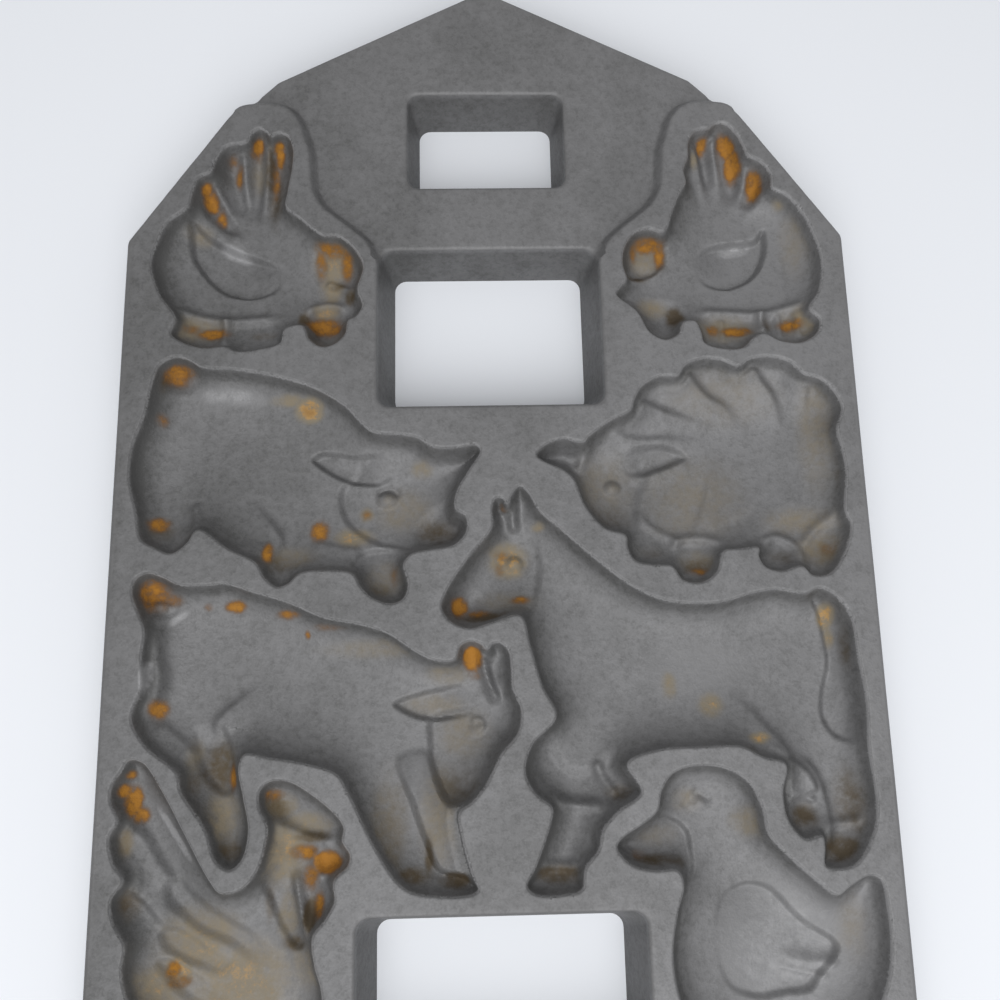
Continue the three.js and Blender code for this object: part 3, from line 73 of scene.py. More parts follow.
# The animals. deep is the crowned floor's depth, and floor shifts the relief that is drawn on it. A ridge
# stands up from the floor along its line, and is a groove where its height is negative. A lobe sinks all
# inside its edge and runs out towards its root, and is a board left standing where its depth is negative.
# A blob is a small round hollow or bump.
ANIMALS = {
    "left_hen": dict(
        deep=9.6, floor=(-2.1, 4.4),
        outline=[(-98, 231), (-96.8, 237), (-93.8, 244), (-88.3, 248.8), (-87, 254), (-85.3, 258.4),
            (-81.9, 260.2), (-80.6, 264), (-77.6, 268.4), (-71.6, 269.9), (-70, 272.9), (-67.4, 274.3),
            (-65.2, 272.8), (-64.2, 271.8), (-62.4, 272.6), (-59.4, 272), (-57.6, 268), (-57.6, 262),
            (-58.8, 254), (-59.2, 248.8), (-55, 245), (-48.4, 239.6), (-43.5, 239), (-38.8, 235),
            (-36.4, 229.6), (-38, 222.6), (-36.6, 217.4), (-38.6, 214), (-40.6, 213), (-41.4, 209),
            (-44.4, 205.8), (-48.4, 204.9), (-52, 207.3), (-53.9, 211.4), (-58.8, 210.4), (-60, 206.2),
            (-66, 204.3), (-72.6, 203.8), (-75.6, 205.2), (-82, 204.9), (-88.4, 206.9), (-91.4, 209.4),
            (-90.2, 214), (-95.2, 221.6)],
        lobes=[
            dict(depth=2.7, soft=1.9, root=(-57, 225), reach=14, edge=[(-86, 242), (-86.7, 237), (-86, 232),
                (-83, 227), (-79, 222.6), (-75, 220.2), (-68, 219.2), (-61, 221.6), (-58, 227),
                (-63, 230.2), (-68, 232.2), (-73, 234), (-78, 236.4), (-82, 238.8)]),
            dict(depth=1.2, soft=5, edge=[(-47.6, 241), (-48.7, 231), (-49.4, 224), (-51, 214),
                (-52, 206), (-46, 198), (-32, 206), (-30, 232), (-40, 246)]),
        ],
        ridges=[
            dict(height=-1.3, width=2.4, line=[(-85, 259), (-82.6, 253), (-80, 247.6), (-76.6, 242.6),
                (-72, 238.6)]),
            dict(height=-1.2, width=2.4, line=[(-79, 269), (-76, 262), (-74.6, 256), (-72.4, 250),
                (-70, 244)]),
            dict(height=-1.2, width=2, line=[(-67.8, 275), (-67.4, 266), (-67.3, 258), (-67.6, 250),
                (-67.4, 243)]),
            dict(height=-1.2, width=2, line=[(-60.8, 273), (-60.4, 264), (-61, 256), (-62.4, 248),
                (-63.6, 241)]),
            dict(height=1.8, width=1.5, fade=0.5, line=[(-83, 262), (-79, 252.6), (-75.8, 246.6),
                (-71, 239)]),
            dict(height=1.8, width=1.5, fade=0.5, line=[(-71.4, 273), (-70.8, 262), (-70.6, 255),
                (-69.4, 243)]),
            dict(height=1.8, width=1.5, fade=0.5, line=[(-64.2, 275), (-63.8, 263), (-64.2, 254),
                (-65.8, 239)]),
            dict(height=1, width=(1.4, 3), line=[(-88, 251), (-82, 243.4), (-77.6, 240), (-69, 236.6)]),
            dict(height=1.4, width=1.3, line=[(-47, 223.6), (-42, 221.6), (-37, 218.6)]),
            dict(height=1.4, width=1.5, line=[(-53, 213.6), (-46, 216.2), (-39, 214.4)]),
            dict(height=1.7, width=1.6, line=[(-91, 214.4), (-80, 211.6), (-70, 211.4), (-58, 212.4)]),
            dict(height=1.6, width=1.4, line=[(-75, 213), (-75, 202)]),
        ],
        blobs=[
            dict(depth=-1, at=(-44, 228), size=(3.4, 3.8)),
            dict(depth=1.6, at=(-46.8, 210), size=(6, 5.4)),
        ],
    ),
    "right_hen": dict(
        deep=9.6, floor=(2.5, 4.4),
        outline=[(37, 220.2), (38.6, 222.8), (40.2, 224.6), (39.2, 229.6), (40, 235), (43, 239.3),
            (47.7, 240.7), (51.6, 239.6), (53.2, 241.4), (54.6, 245.6), (57, 251.4), (59.4, 255.8),
            (59, 260), (60.6, 264.4), (61, 269.2), (63.2, 272.6), (67.4, 273.6), (69.4, 275.1),
            (72.6, 275.2), (76, 271.8), (78, 267.4), (79, 264.6), (83, 262), (85.6, 257.8), (85.6, 253.6),
            (89.4, 251.4), (93.6, 246.2), (96.8, 238.6), (98.5, 230), (97, 221), (93.6, 214.8),
            (96.4, 211.6), (95.4, 207.6), (90.6, 204.6), (84.4, 205), (79.4, 207.4), (76.6, 206.2),
            (73.4, 203.2), (67, 202.9), (61.9, 204.8), (61, 208.4), (59.6, 211.4), (56.4, 211.2),
            (54.8, 207.6), (50.6, 205.8), (46.2, 208.2), (42.8, 214.6)],
        lobes=[
            dict(depth=2.7, soft=1.9, root=(58.5, 226), reach=14, edge=[(81.6, 239.2), (79, 236.4),
                (74, 235.6), (68, 235), (63.6, 233.4), (59.6, 228), (62, 222.8), (68.6, 220.6), (73, 221.6),
                (77, 223.8), (80, 227.4), (81.8, 232.4), (82.2, 236)]),
            dict(depth=1.6, soft=2.6, edge=[(36, 221.6), (45.4, 223), (49.8, 226.5), (51.2, 232.6),
                (50.4, 242), (44, 248), (33, 240), (32, 226)]),
        ],
        ridges=[
            dict(height=-1.2, width=2, line=[(63.4, 274), (63.6, 266), (64.4, 259), (65.6, 252)]),
            dict(height=-1.5, width=2.6, line=[(70.6, 276), (72, 268), (73.4, 261), (73, 254), (71.4, 247)]),
            dict(height=-1.5, width=2.4, line=[(82.6, 262.5), (80.4, 256), (78.8, 250), (76, 245.4)]),
            dict(height=1.8, width=1.5, fade=0.5, line=[(58.8, 268), (62, 259.4), (63, 253), (64.8, 246)]),
            dict(height=1.8, width=1.5, fade=0.5, line=[(68, 277), (67, 266), (67.8, 258), (69.4, 247)]),
            dict(height=1.8, width=1.5, fade=0.5, line=[(79.6, 268), (76.4, 259), (75.8, 253), (73, 244)]),
            dict(height=1.2, width=1.8, fade=0.5, line=[(88, 255), (82, 249.8), (79, 246.4), (74.6, 241.6)]),
            dict(height=1.6, width=1.3, line=[(36.6, 220.2), (42, 222), (48, 224.8), (51, 228.4)]),
            dict(height=1.7, width=1.6, line=[(57, 212.4), (68, 212.2), (78, 211.6), (86, 213), (94, 215)]),
            dict(height=1.8, width=1.4, line=[(78, 213.4), (78.2, 204.6)]),
            dict(height=0.9, width=1.1, line=[(66.4, 202), (66.6, 211)]),
            dict(height=0.9, width=1.1, line=[(83.4, 203), (83.4, 212)]),
            dict(height=0.9, width=1.1, line=[(88.6, 203), (88.6, 212.6)]),
        ],
        blobs=[
            dict(depth=-1, at=(45, 229), size=(3.4, 3.2)),
            dict(depth=1.6, at=(49.6, 211), size=(6, 5.2)),
        ],
    ),
    "pig": dict(
        deep=10.4, floor=(-1.6, 2.3),
        outline=[(-95.8, 195), (-94, 200), (-89.4, 202.4), (-85, 201.2), (-82, 199.3), (-72, 198.3),
            (-61, 196.2), (-50, 192.6), (-41.6, 187.4), (-33.6, 179.6), (-26, 178.7), (-20.8, 177.6),
            (-16.6, 174.9), (-10, 174.6), (-4.2, 175.2), (-3.2, 173.6), (-6.8, 167.6), (-10.2, 161.4),
            (-10.4, 157), (-7.6, 154.8), (-7.6, 150.4), (-11, 146.8), (-16.6, 145.7), (-22.8, 144.4),
            (-24.8, 141.8), (-23.6, 136), (-25, 132.2), (-28.4, 130.9), (-33.6, 132.6), (-37, 136),
            (-39, 139.3), (-46.5, 140.4), (-53, 139.7), (-56.4, 136.8), (-59.4, 136), (-63, 138.8),
            (-65.4, 142.8), (-73, 146.8), (-81.4, 152.2), (-84, 148.6), (-88.2, 145.7), (-93, 147.4),
            (-96.8, 149.8), (-98.4, 157), (-100.8, 167), (-100.4, 176), (-97.6, 185.4)],
        lobes=[
            dict(depth=2.1, soft=1.9, root=(-25.5, 168.5), reach=14, edge=[(-50.2, 171.6), (-47.6, 169.2),
                (-44, 166.8), (-40, 165), (-35, 164.1), (-29.6, 164.3), (-26, 168), (-29, 171.4),
                (-34, 172.1), (-38.4, 172), (-44, 173.3), (-48, 173.3)]),
            dict(depth=1.7, soft=2.4, root=(-33, 170.5), reach=14, edge=[(-38, 167), (-41.6, 163),
                (-42.1, 158), (-40.2, 153.2), (-36.2, 149.2), (-30.4, 146.2), (-24, 144.4), (-14, 139),
                (0, 144), (2, 160), (0, 182), (-24, 184), (-34, 174)]),
            dict(depth=1.4, soft=2.2, edge=[(-38, 141), (-35, 144), (-30.6, 145), (-25.4, 144.4),
                (-20, 138), (-22, 127), (-30, 126), (-38, 132)]),
            dict(depth=1.5, soft=4, edge=[(-20.6, 149.6), (-18, 153.2), (-13.6, 156.8), (-6, 158),
                (-2, 150), (-8, 142), (-18, 143)]),
        ],
        ridges=[
            dict(height=1.8, width=(5, 1.5), fade=0.6, line=[(-63.4, 140), (-60.4, 144.6), (-59, 148),
                (-61, 151.4), (-64.6, 155.6), (-70, 161)]),
            dict(height=1.2, width=1.4, line=[(-80.8, 148.5), (-81.6, 154), (-82.8, 159.6)]),
            dict(height=1, width=(1.3, 3), line=[(-50, 147), (-42, 145), (-35, 144.4)]),
            dict(height=-0.9, width=1, line=[(-31.8, 160.6), (-29.8, 162.6), (-26.8, 162.6), (-25, 160)]),
            dict(height=1.1, width=1.3, line=[(-93.4, 195), (-91, 199.4), (-86.6, 199.6), (-84.8, 196.6),
                (-87.4, 194.6)]),
            dict(height=0.6, width=1, line=[(-45, 173), (-39, 170.6), (-33, 171.6)]),
        ],
        blobs=[
            dict(depth=-1.9, at=(-28.8, 159.6), size=(2.8, 2.2)),
            dict(depth=1.6, at=(-89, 197), size=(6.6, 5.2)),
        ],
    ),
    "sheep": dict(
        deep=10, floor=(2.1, 2.2),
        outline=[(12.2, 172.2), (14.6, 174.9), (20, 176.7), (25.6, 175.7), (27.4, 177.5), (33.3, 181.7),
            (39.6, 185.1), (40.6, 188), (43, 192), (48, 194.8), (53.4, 195.1), (56, 198.3), (61, 200),
            (66.6, 199.6), (71.3, 197.8), (75, 199.9), (81, 200.4), (86.4, 198.8), (90.4, 195), (95, 193.4),
            (99, 189), (100.4, 184.6), (98.4, 178.4), (99.4, 172), (99.9, 166), (98.5, 155), (99.8, 150.4),
            (97, 142.4), (92.6, 137), (87.6, 136.7), (85, 139.2), (79, 137.9), (74.6, 139.3), (73, 142.4),
            (73.2, 144.6), (68, 144.3), (63.6, 143.8), (61.4, 138.2), (57, 135.2), (51.6, 136),
            (48.8, 139.8), (43, 140.4), (38.6, 141.7), (36.6, 145.6), (36.4, 148.6), (30.6, 150.8),
            (25.4, 157.2), (22.4, 165), (19.6, 167.6), (14, 170.3)],
        lobes=[
            dict(depth=1.7, soft=2.2, root=(34.5, 170), reach=10, edge=[(54.2, 170.6), (50.6, 173.2),
                (45, 173.9), (38.6, 172.6), (35, 170), (37, 166.4), (41, 165.4), (47, 167)]),
            dict(depth=1.5, soft=4, root=(38, 175), reach=12, edge=[(43, 165), (41, 172), (34, 177),
                (26, 181), (12, 180), (8, 170), (18, 154), (30, 144), (38, 146.5), (38.8, 152),
                (40, 159)]),
        ],
        ridges=[
            dict(height=2.2, width=(2, 7), fade=0.6, line=[(35.6, 187.2), (47, 183.4), (54, 181),
                (64, 178)]),
            dict(height=2.8, width=(2, 7), fade=0.6, line=[(50.6, 199.6), (56.5, 191.5), (60.5, 187.5),
                (66, 184.2), (71, 176)]),
            dict(height=2.8, width=(2, 7), fade=0.6, line=[(69.6, 202.4), (75, 193.5), (79.5, 187.5),
                (83, 175)]),
            dict(height=1.8, width=(1.8, 5), fade=0.6, line=[(91.6, 200), (89, 190), (89.6, 179)]),
            dict(height=1.4, width=(1.6, 4), fade=0.5, line=[(28, 180), (35, 176), (40, 175), (48, 175.3),
                (54, 175), (62, 177)]),
            dict(height=1, width=(1.4, 3), line=[(37, 165.4), (46.6, 166.8), (55.4, 171)]),
            dict(height=0.8, width=(1.6, 5), fade=0.4, line=[(54, 144), (57.6, 152), (60.4, 160), (62, 173)]),
            dict(height=0.7, width=(5, 1.6), fade=0.4, line=[(57, 149), (65, 152.5), (72, 156.6), (77, 164)]),
            dict(height=0.9, width=(5, 1.6), fade=0.4, line=[(66, 146), (78, 151), (84, 156), (87.6, 168)]),
            dict(height=0.9, width=1.3, line=[(39.4, 156), (40.4, 152), (44.4, 148.6), (52, 145)]),
            dict(height=1.4, width=1.5, line=[(25.6, 176), (24.6, 171), (22.4, 166)]),
            dict(height=1.4, width=1.5, line=[(48.4, 142), (50, 145.6), (56, 146.2), (63, 144.6)]),
            dict(height=1.4, width=1.5, line=[(73, 144.6), (78, 146.4), (83, 144), (85.2, 138.4)]),
            dict(height=1.4, width=1.6, line=[(84.6, 142), (89, 148), (98, 154.4)]),
        ],
        blobs=[
            dict(depth=-1.7, at=(32.4, 161.8), size=(2.4, 2.2)),
        ],
    ),
    "goat": dict(
        deep=10, floor=(-1.2, 0),
        outline=[(-98.4, 135.4), (-97.6, 138.8), (-94.6, 140.6), (-90.6, 139.6), (-85.4, 137.2),
            (-79, 136.9), (-73, 137.2), (-66, 135), (-56, 131.8), (-46.4, 127.6), (-36, 125.4), (-29, 123),
            (-21.6, 118), (-16.6, 115.7), (-11.4, 115.7), (-9.8, 119.4), (-7, 120.6), (-4.2, 119.8),
            (-2.5, 118.2), (-1, 119.8), (1.2, 119.9), (3.4, 117.6), (4, 113), (4.2, 108), (6.4, 102),
            (5.4, 96), (0.8, 90.6), (-3.4, 82.8), (-7.4, 78.4), (-10.4, 76.2), (-9.8, 70), (-7.2, 60.4),
            (-5.8, 57), (-8, 55.7), (-18, 55.8), (-23.6, 57), (-27.4, 60), (-33.4, 69.4), (-39.4, 81.4),
            (-42.6, 86.4), (-50, 89.1), (-60, 91), (-66.6, 92), (-68, 89), (-66.6, 81.4), (-65, 73),
            (-66.6, 65.6), (-69.6, 63.3), (-73.2, 65.4), (-76.6, 74), (-83, 83), (-84.2, 87.6), (-93, 95),
            (-96.8, 102), (-94.4, 110), (-95, 118), (-94.6, 125), (-97, 131)],
        lobes=[
            dict(depth=1.5, soft=2.4, root=(-78, 101), reach=8, edge=[(-80.4, 99), (-74.4, 100.4),
                (-71.6, 96.4), (-69.6, 91.6), (-68.4, 86), (-70, 82), (-73, 82), (-77, 86), (-79.8, 92)]),
            dict(depth=1.9, soft=1.8, root=(-4.5, 105), reach=12, edge=[(-27, 104.4), (-22.4, 101.3),
                (-17, 99.9), (-11.6, 100.2), (-6.4, 101.4), (-5, 105), (-8.6, 108.8), (-14, 108.2),
                (-20, 107)]),
            dict(depth=1.6, soft=2.4, root=(-3, 110), reach=14, edge=[(-16.9, 100.4), (-17.4, 94),
                (-17, 88), (-15.4, 83), (-12, 77.6), (-6, 72), (4, 80), (13, 92), (15, 106), (6, 110),
                (-4, 104)]),
            dict(depth=-4.4, soft=2.6, root=(-23, 96), reach=22, edge=[(-25.8, 90), (-22, 78),
                (-18.2, 68), (-14.8, 61.4), (-6, 60.5), (-2, 62), (-6, 76), (-12.4, 79), (-15, 84),
                (-18.6, 91.6)]),
        ],
        ridges=[
            dict(height=1.9, width=(1.6, 5), line=[(-90.6, 127), (-91.6, 122.6), (-91, 118), (-89.8, 113.6),
                (-90.4, 108.4), (-95, 101)]),
            dict(height=1.5, width=(1.6, 6), fade=0.6, line=[(-73, 95), (-74.4, 99.8), (-72, 102.8),
                (-67.6, 106.4), (-61, 111)]),
            dict(height=2.8, width=1.4, line=[(-2.4, 121.5), (-2.2, 114), (-0.8, 109), (2, 103)]),
                        dict(height=1.2, width=(1.3, 2.6), line=[(-91, 101.4), (-84, 95.6), (-79.4, 91)]),
            dict(height=0.9, width=1, line=[(-6.4, 99.6), (-3.4, 99.4), (-2.4, 96.6)]),
            dict(height=0.9, width=1.2, line=[(-97, 134), (-92, 136.6), (-87, 134.4)]),
            dict(height=0.9, width=1.2, line=[(-95, 130.4), (-91, 132.4), (-87, 131)]),
        ],
        blobs=[
            dict(depth=-0.8, at=(-4.4, 97), size=(2.2, 1.7)),
            dict(depth=1.4, at=(-92.5, 134.6), size=(6, 5.6)),
        ],
    ),
    "horse": dict(
        deep=10.4, floor=(1.5, 0.7),
        outline=[(-14.9, 129.6), (-13.6, 134), (-7.6, 143), (-0.6, 152), (-0.6, 157), (0.6, 160),
            (2.8, 159.8), (4, 158), (5, 160.6), (7.4, 163.3), (9.8, 161.4), (12.6, 156.4), (19, 150.4),
            (29, 141.4), (37.4, 134.8), (45, 131), (53, 129.6), (62, 129.9), (70.8, 132.2), (77, 133),
            (85.2, 131.8), (89, 133.2), (93.6, 131), (97.4, 124.6), (98.3, 114), (99.4, 102), (98.8, 90),
            (99.6, 76), (98.2, 69), (92.8, 61), (88, 59.8), (84.4, 60.6), (84.6, 65.4), (84.2, 68),
            (79.6, 67.4), (75.6, 72), (74.6, 79), (76, 86.4), (70, 88.4), (64.4, 91.2), (53, 91.3),
            (43, 90.9), (34.2, 87.6), (37.5, 80.2), (31, 75.4), (27, 71), (25.6, 66), (22, 61.6),
            (20.9, 56.4), (17, 55.3), (8.6, 55.5), (6.5, 57.6), (9, 62.4), (13.4, 74), (13.6, 76.8),
            (9.2, 80.6), (6.8, 86), (8.8, 93), (15.4, 100.2), (12, 108), (9, 119), (6.6, 127), (-1, 125.3),
            (-7, 123.8), (-12, 125.5)],
        lobes=[
            dict(depth=1.4, soft=2.8, root=(8, 152), reach=14, edge=[(11.6, 142), (6, 157), (-4, 158),
                (-14, 146), (-21, 128), (-8, 117), (7, 124), (10.4, 133)]),
            dict(depth=1.3, soft=4, edge=[(8, 90), (9.6, 83), (14, 78.4), (23, 76.6), (31, 76.6),
                (37, 80.4), (33.6, 87), (29, 89), (25, 86), (19, 85), (15.4, 88), (12.6, 93.6), (9.6, 94)]),
            dict(depth=-2.2, soft=2.4, edge=[(76.6, 87), (76, 78), (80, 77.2), (84, 78.6), (81.6, 84.4)]),
            dict(depth=1.7, soft=2.2, edge=[(85, 133), (88.4, 127), (90, 119), (90.4, 112), (88.6, 105),
                (88, 98), (90.4, 93), (94.6, 90.8), (106, 89), (108, 134), (92, 142)]),
        ],
        ridges=[
            dict(height=1.7, width=(4.5, 1.7), fade=0.6, line=[(79, 85), (75, 90.4), (71, 95.4), (67, 100),
                (61, 105)]),
            dict(height=1.9, width=(1.5, 3.5), line=[(78, 87), (82.4, 84.6), (84.8, 80), (86, 73),
                (85, 63)]),
            dict(height=2.4, width=1.4, line=[(4.2, 160.5), (3.8, 154.6), (4.4, 149.6)]),
            dict(height=1.4, width=1.6, line=[(25, 88), (26.6, 82.6), (30.4, 78)]),
            dict(height=1.4, width=1.6, line=[(12, 77.8), (19, 76.2), (27, 76)]),
            dict(height=1, width=1.3, line=[(7.6, 62), (14, 61), (22.6, 61)]),
            dict(height=1.4, width=1.1, line=[(75, 76.6), (79.4, 77), (84.4, 75.6)]),
            dict(height=1, width=1.3, line=[(84.6, 69.4), (90, 69.8), (98, 71.4)]),
            dict(height=-0.6, width=1.4, line=[(0.2, 140.6), (1.4, 144.4), (5, 145.2), (7.6, 142.6),
                (6.4, 138.8)]),
        ],
        blobs=[
            dict(depth=-1.6, at=(4.2, 141.6), size=(2.4, 2.1)),
            dict(depth=1.2, at=(-10, 130), size=(5, 4.4)),
        ],
    ),
    "rooster": dict(
        deep=9.6, floor=(-1.9, -1.4),
        outline=[(-98.6, 88.6), (-96.6, 91.4), (-93, 90.7), (-88, 84), (-81, 72), (-75, 61.7), (-71.8, 58),
            (-66.8, 58.6), (-63, 62.6), (-60.8, 69), (-60.4, 74), (-62.6, 78.6), (-62.6, 82.8), (-60, 85.2),
            (-55, 85.1), (-50, 82.4), (-43.4, 77.2), (-40.5, 73.4), (-40.7, 69.6), (-38.8, 66.6),
            (-39.2, 63.6), (-42.8, 60), (-42.6, 55), (-45, 50.6), (-48, 46.8), (-47.4, 40), (-45.6, 34),
            (-45.4, 27), (-48.4, 20.4), (-52.4, 15.8), (-51.2, 12), (-52.6, 8.8), (-57.6, 7), (-63.4, 7.4),
            (-66.4, 9), (-69.4, 7.6), (-75.6, 7.2), (-80.6, 9.2), (-81.6, 12.6), (-79.8, 16.2),
            (-87.6, 24.4), (-94, 33.4), (-95.8, 40), (-95.4, 46), (-98.6, 51.6), (-99.4, 57), (-96.6, 61.4),
            (-99.6, 66), (-100.8, 72), (-98.8, 76.2), (-101, 81), (-100.8, 85)],
        lobes=[
            dict(depth=1.6, soft=2.2, root=(-56, 68), reach=10, edge=[(-60.6, 61), (-58.6, 56), (-55.4, 49),
                (-51, 44.4), (-48, 46), (-50, 51), (-51.4, 57), (-52.6, 62), (-56, 66)]),
            dict(depth=1.6, soft=3, root=(-57, 38), reach=16, edge=[(-85.4, 60.8), (-83, 62), (-79, 58.6),
                (-74, 54.6), (-68, 50.8), (-62, 47), (-58.8, 42.6), (-58.6, 37), (-64, 42), (-70, 46),
                (-76, 48.6), (-81, 52.4), (-85, 57)]),
            dict(depth=1.4, soft=2.6, root=(-66, 36), reach=14, edge=[(-86.6, 48.6), (-84, 50), (-79, 47.6),
                (-74, 44), (-68, 40.6), (-70, 38.4), (-76, 40), (-81, 42), (-85.4, 45)]),
            dict(depth=1.4, soft=2.6, root=(-68, 30), reach=14, edge=[(-87, 41.6), (-84.6, 42.4),
                (-80, 39.8), (-75, 36.6), (-70, 33), (-72, 30), (-78, 32), (-83, 36)]),
        ],
        ridges=[
            dict(height=2, width=(1.9, 4), fade=0.4, line=[(-103, 78.4), (-96.5, 76.4), (-92.5, 73),
                (-88, 66), (-83, 59.5), (-78, 53.6)]),
            dict(height=2, width=(4, 1.7), fade=0.3, line=[(-100.6, 63), (-95, 61.6), (-91, 58.6),
                (-87, 54), (-82.6, 48.6)]),
            dict(height=1.6, width=(1.4, 2.8), line=[(-61.4, 77), (-54.6, 74.4), (-48.6, 71.8), (-39.6, 70)]),
            dict(height=1.2, width=1.4, line=[(-47, 69.4), (-46.4, 64.6), (-44.4, 60.6)]),
            dict(height=1.9, width=1.5, line=[(-51.8, 64.4), (-51, 57), (-49.6, 51.6), (-47.6, 45)]),
            dict(height=1.7, width=1.6, line=[(-81, 18.6), (-72, 16), (-63, 15.8), (-51, 18)]),
            dict(height=1.6, width=1.4, line=[(-64.8, 17), (-64.8, 7)]),
        ],
        blobs=[
            dict(depth=1.5, at=(-42.6, 64.6), size=(4, 3.2)),
            dict(depth=1.4, at=(-46.4, 53.6), size=(3, 4.6)),
        ],
    ),
    "duck": dict(
        deep=10.4, floor=(2.4, -1.7),
        outline=[(30.1, 66.6), (32, 69.2), (37, 72.2), (41.2, 75.6), (42.6, 80.6), (46, 85), (53, 86.8),
            (60.6, 85.6), (66, 82), (69, 75.7), (70.2, 69), (75, 63.4), (82, 57), (86.8, 53.5), (91, 56),
            (96, 58.2), (98.8, 56.8), (99.8, 50), (99.9, 42), (98.6, 34), (94.6, 25), (88.6, 18.2),
            (85.6, 15.4), (87, 11.4), (84.6, 8), (78.4, 6.8), (72.4, 7.6), (69.6, 9.2), (66.6, 7.6),
            (60.4, 6.8), (54.6, 8.2), (52.6, 11.6), (54, 15.2), (51, 18.4), (46.6, 24), (43.9, 32),
            (43.3, 41), (45, 50), (47, 57), (45.6, 60.4), (39.6, 60.5), (33.6, 62.2)],
        lobes=[
            dict(depth=1.6, soft=1.8, edge=[(48.8, 66), (48.4, 70), (47, 72.4), (44.6, 74.2), (40, 75.8),
                (33, 77), (24, 68), (28, 57), (44, 56), (48.6, 61)]),
            dict(depth=2.1, soft=1.9, root=(57, 42), reach=26, edge=[(54.2, 48), (54, 40), (57, 32),
                (64, 29), (71.6, 29.6), (78.4, 30.6), (81, 34), (84.6, 37.6), (86.3, 40.6), (85.4, 42.6),
                (82.4, 44.6), (78.4, 47), (74.8, 50.4), (72, 53.6), (69, 56.2), (65, 57.4), (60.6, 56.8),
                (56.4, 54)]),
        ],
        ridges=[
            dict(height=1.2, width=(1.2, 2), fade=0.5, line=[(87, 37), (79, 37), (68, 40)]),
            dict(height=1, width=(1.2, 2), fade=0.5, line=[(84, 33.4), (76, 35), (66, 37.6)]),
            dict(height=-0.4, width=1.1, line=[(46.4, 77.2), (49, 78.8), (51, 78)]),
            dict(height=-0.5, width=1.2, line=[(49.4, 81.6), (52, 80.6), (55, 78.2)]),
            dict(height=1.7, width=1.6, line=[(50, 19.6), (60, 17.2), (75, 17.2), (86, 20)]),
            dict(height=1.6, width=1.4, line=[(67.2, 18), (67.2, 8)]),
        ],
        blobs=[
            dict(depth=-0.7, at=(51.6, 78), size=(2.8, 1.9)),
        ],
    ),
}

# What years of use left in the hollows, as seen from above: x, y, half sizes and strength of each patch.
# Orange rust sits deepest, burnt brown film lies on walls and hooves, and a pale ochre bloom lies on floors.
RUST = {
    "left_hen": [(-82.4, 253.6, 2, 3.2, 1), (-80.6, 249, 2, 3, 1), (-78, 244.4, 1.6, 2.6, 0.9),
        (-74.6, 262.6, 2, 3.2, 0.4), (-72.6, 257.6, 1.5, 3.2, 0.7), (-67.5, 268, 2.2, 4.6, 1.1),
        (-60.4, 266, 1.5, 5.6, 1), (-61.6, 256, 1.4, 6, 0.6), (-44, 233.4, 4.6, 2.8, 0.75),
        (-47.6, 229.6, 1.8, 4.8, 0.6), (-39.8, 228.6, 1.9, 5, 0.75), (-46.4, 209.4, 4.8, 3, 1.1),
        (-78.6, 207, 4.2, 1.7, 1), (-84.6, 208.2, 3, 1.4, 0.45)],
    "right_hen": [(63.7, 267, 1.7, 3.2, 1), (71.4, 266.4, 2.8, 4, 1.1), (73, 259.6, 2.2, 4.6, 1.1),
        (79, 253, 2.2, 4.4, 1.1), (45.4, 233.6, 4.6, 2, 0.8), (49.2, 230.6, 1.6, 3.6, 0.8),
        (41, 231, 1.4, 2.6, 0.5), (70.6, 206, 4.2, 1.7, 1), (63.6, 206.4, 2.2, 2, 0.7),
        (86.6, 207.6, 3.4, 1.9, 0.9), (94, 210.6, 1.9, 1.9, 0.9)],
    "pig": [(-88.6, 197, 5.2, 3.4, 0.75), (-50.8, 185.6, 2.6, 2, 0.35), (-92.4, 183, 1.6, 2, 0.5),
        (-92, 152.6, 2.8, 2, 0.8), (-47.6, 150.4, 2.6, 3, 0.9), (-61.4, 144, 1.5, 2.6, 0.9),
        (-34.6, 155.4, 1.6, 1.5, 0.4), (-26.4, 137, 1.5, 3, 0.35)],
    "sheep": [(55, 136.6, 2.4, 1.3, 0.5), (92.4, 142.6, 2.2, 2, 0.35)],
    "goat": [(-93.4, 135.4, 5, 4.6, 0.8), (-87.6, 133.6, 3, 1.8, 0.5), (-70.4, 131.6, 2.7, 1.6, 1),
        (-78, 131.6, 1.3, 1, 0.5), (-55.6, 129, 3.2, 1.3, 0.7), (-50.6, 123.6, 0.8, 1.2, 0.8),
        (-44, 125.4, 5, 1.1, 0.4), (-5.3, 116.2, 2.3, 3.3, 1.4), (-4.6, 111.4, 2, 1.2, 0.4),
        (-90, 104, 2.3, 2.6, 0.9), (-69.5, 86, 1.3, 3.2, 0.9)],
    "horse": [(1.8, 157.6, 1.2, 1.5, 1), (1, 144, 2.6, 1.5, 0.45), (0, 140.4, 1.5, 2, 0.45),
        (-11.4, 129.6, 2.2, 2.6, 1.2), (-6.4, 127.8, 3.4, 1.2, 0.6), (5.6, 131.4, 2.8, 1.2, 0.7)],
    "rooster": [(-97, 84.8, 2.6, 1.7, 1), (-94.5, 82, 2, 3.6, 1.3), (-92.4, 78.4, 1.9, 2.1, 1),
        (-95.4, 89, 1.5, 1.3, 0.8), (-58, 82.8, 3, 1.7, 0.6), (-43.4, 65.4, 3.6, 2.6, 1.4),
        (-49.4, 67.8, 3.6, 2, 0.9), (-47.8, 62, 2.2, 3.6, 0.7), (-45.4, 54.8, 1.6, 3.4, 0.8),
        (-83.2, 39.4, 1.7, 2.3, 0.9), (-81.4, 36.6, 3, 1.6, 0.6)],
    "duck": [(34, 65.6, 2.2, 1.3, 0.35)],
}

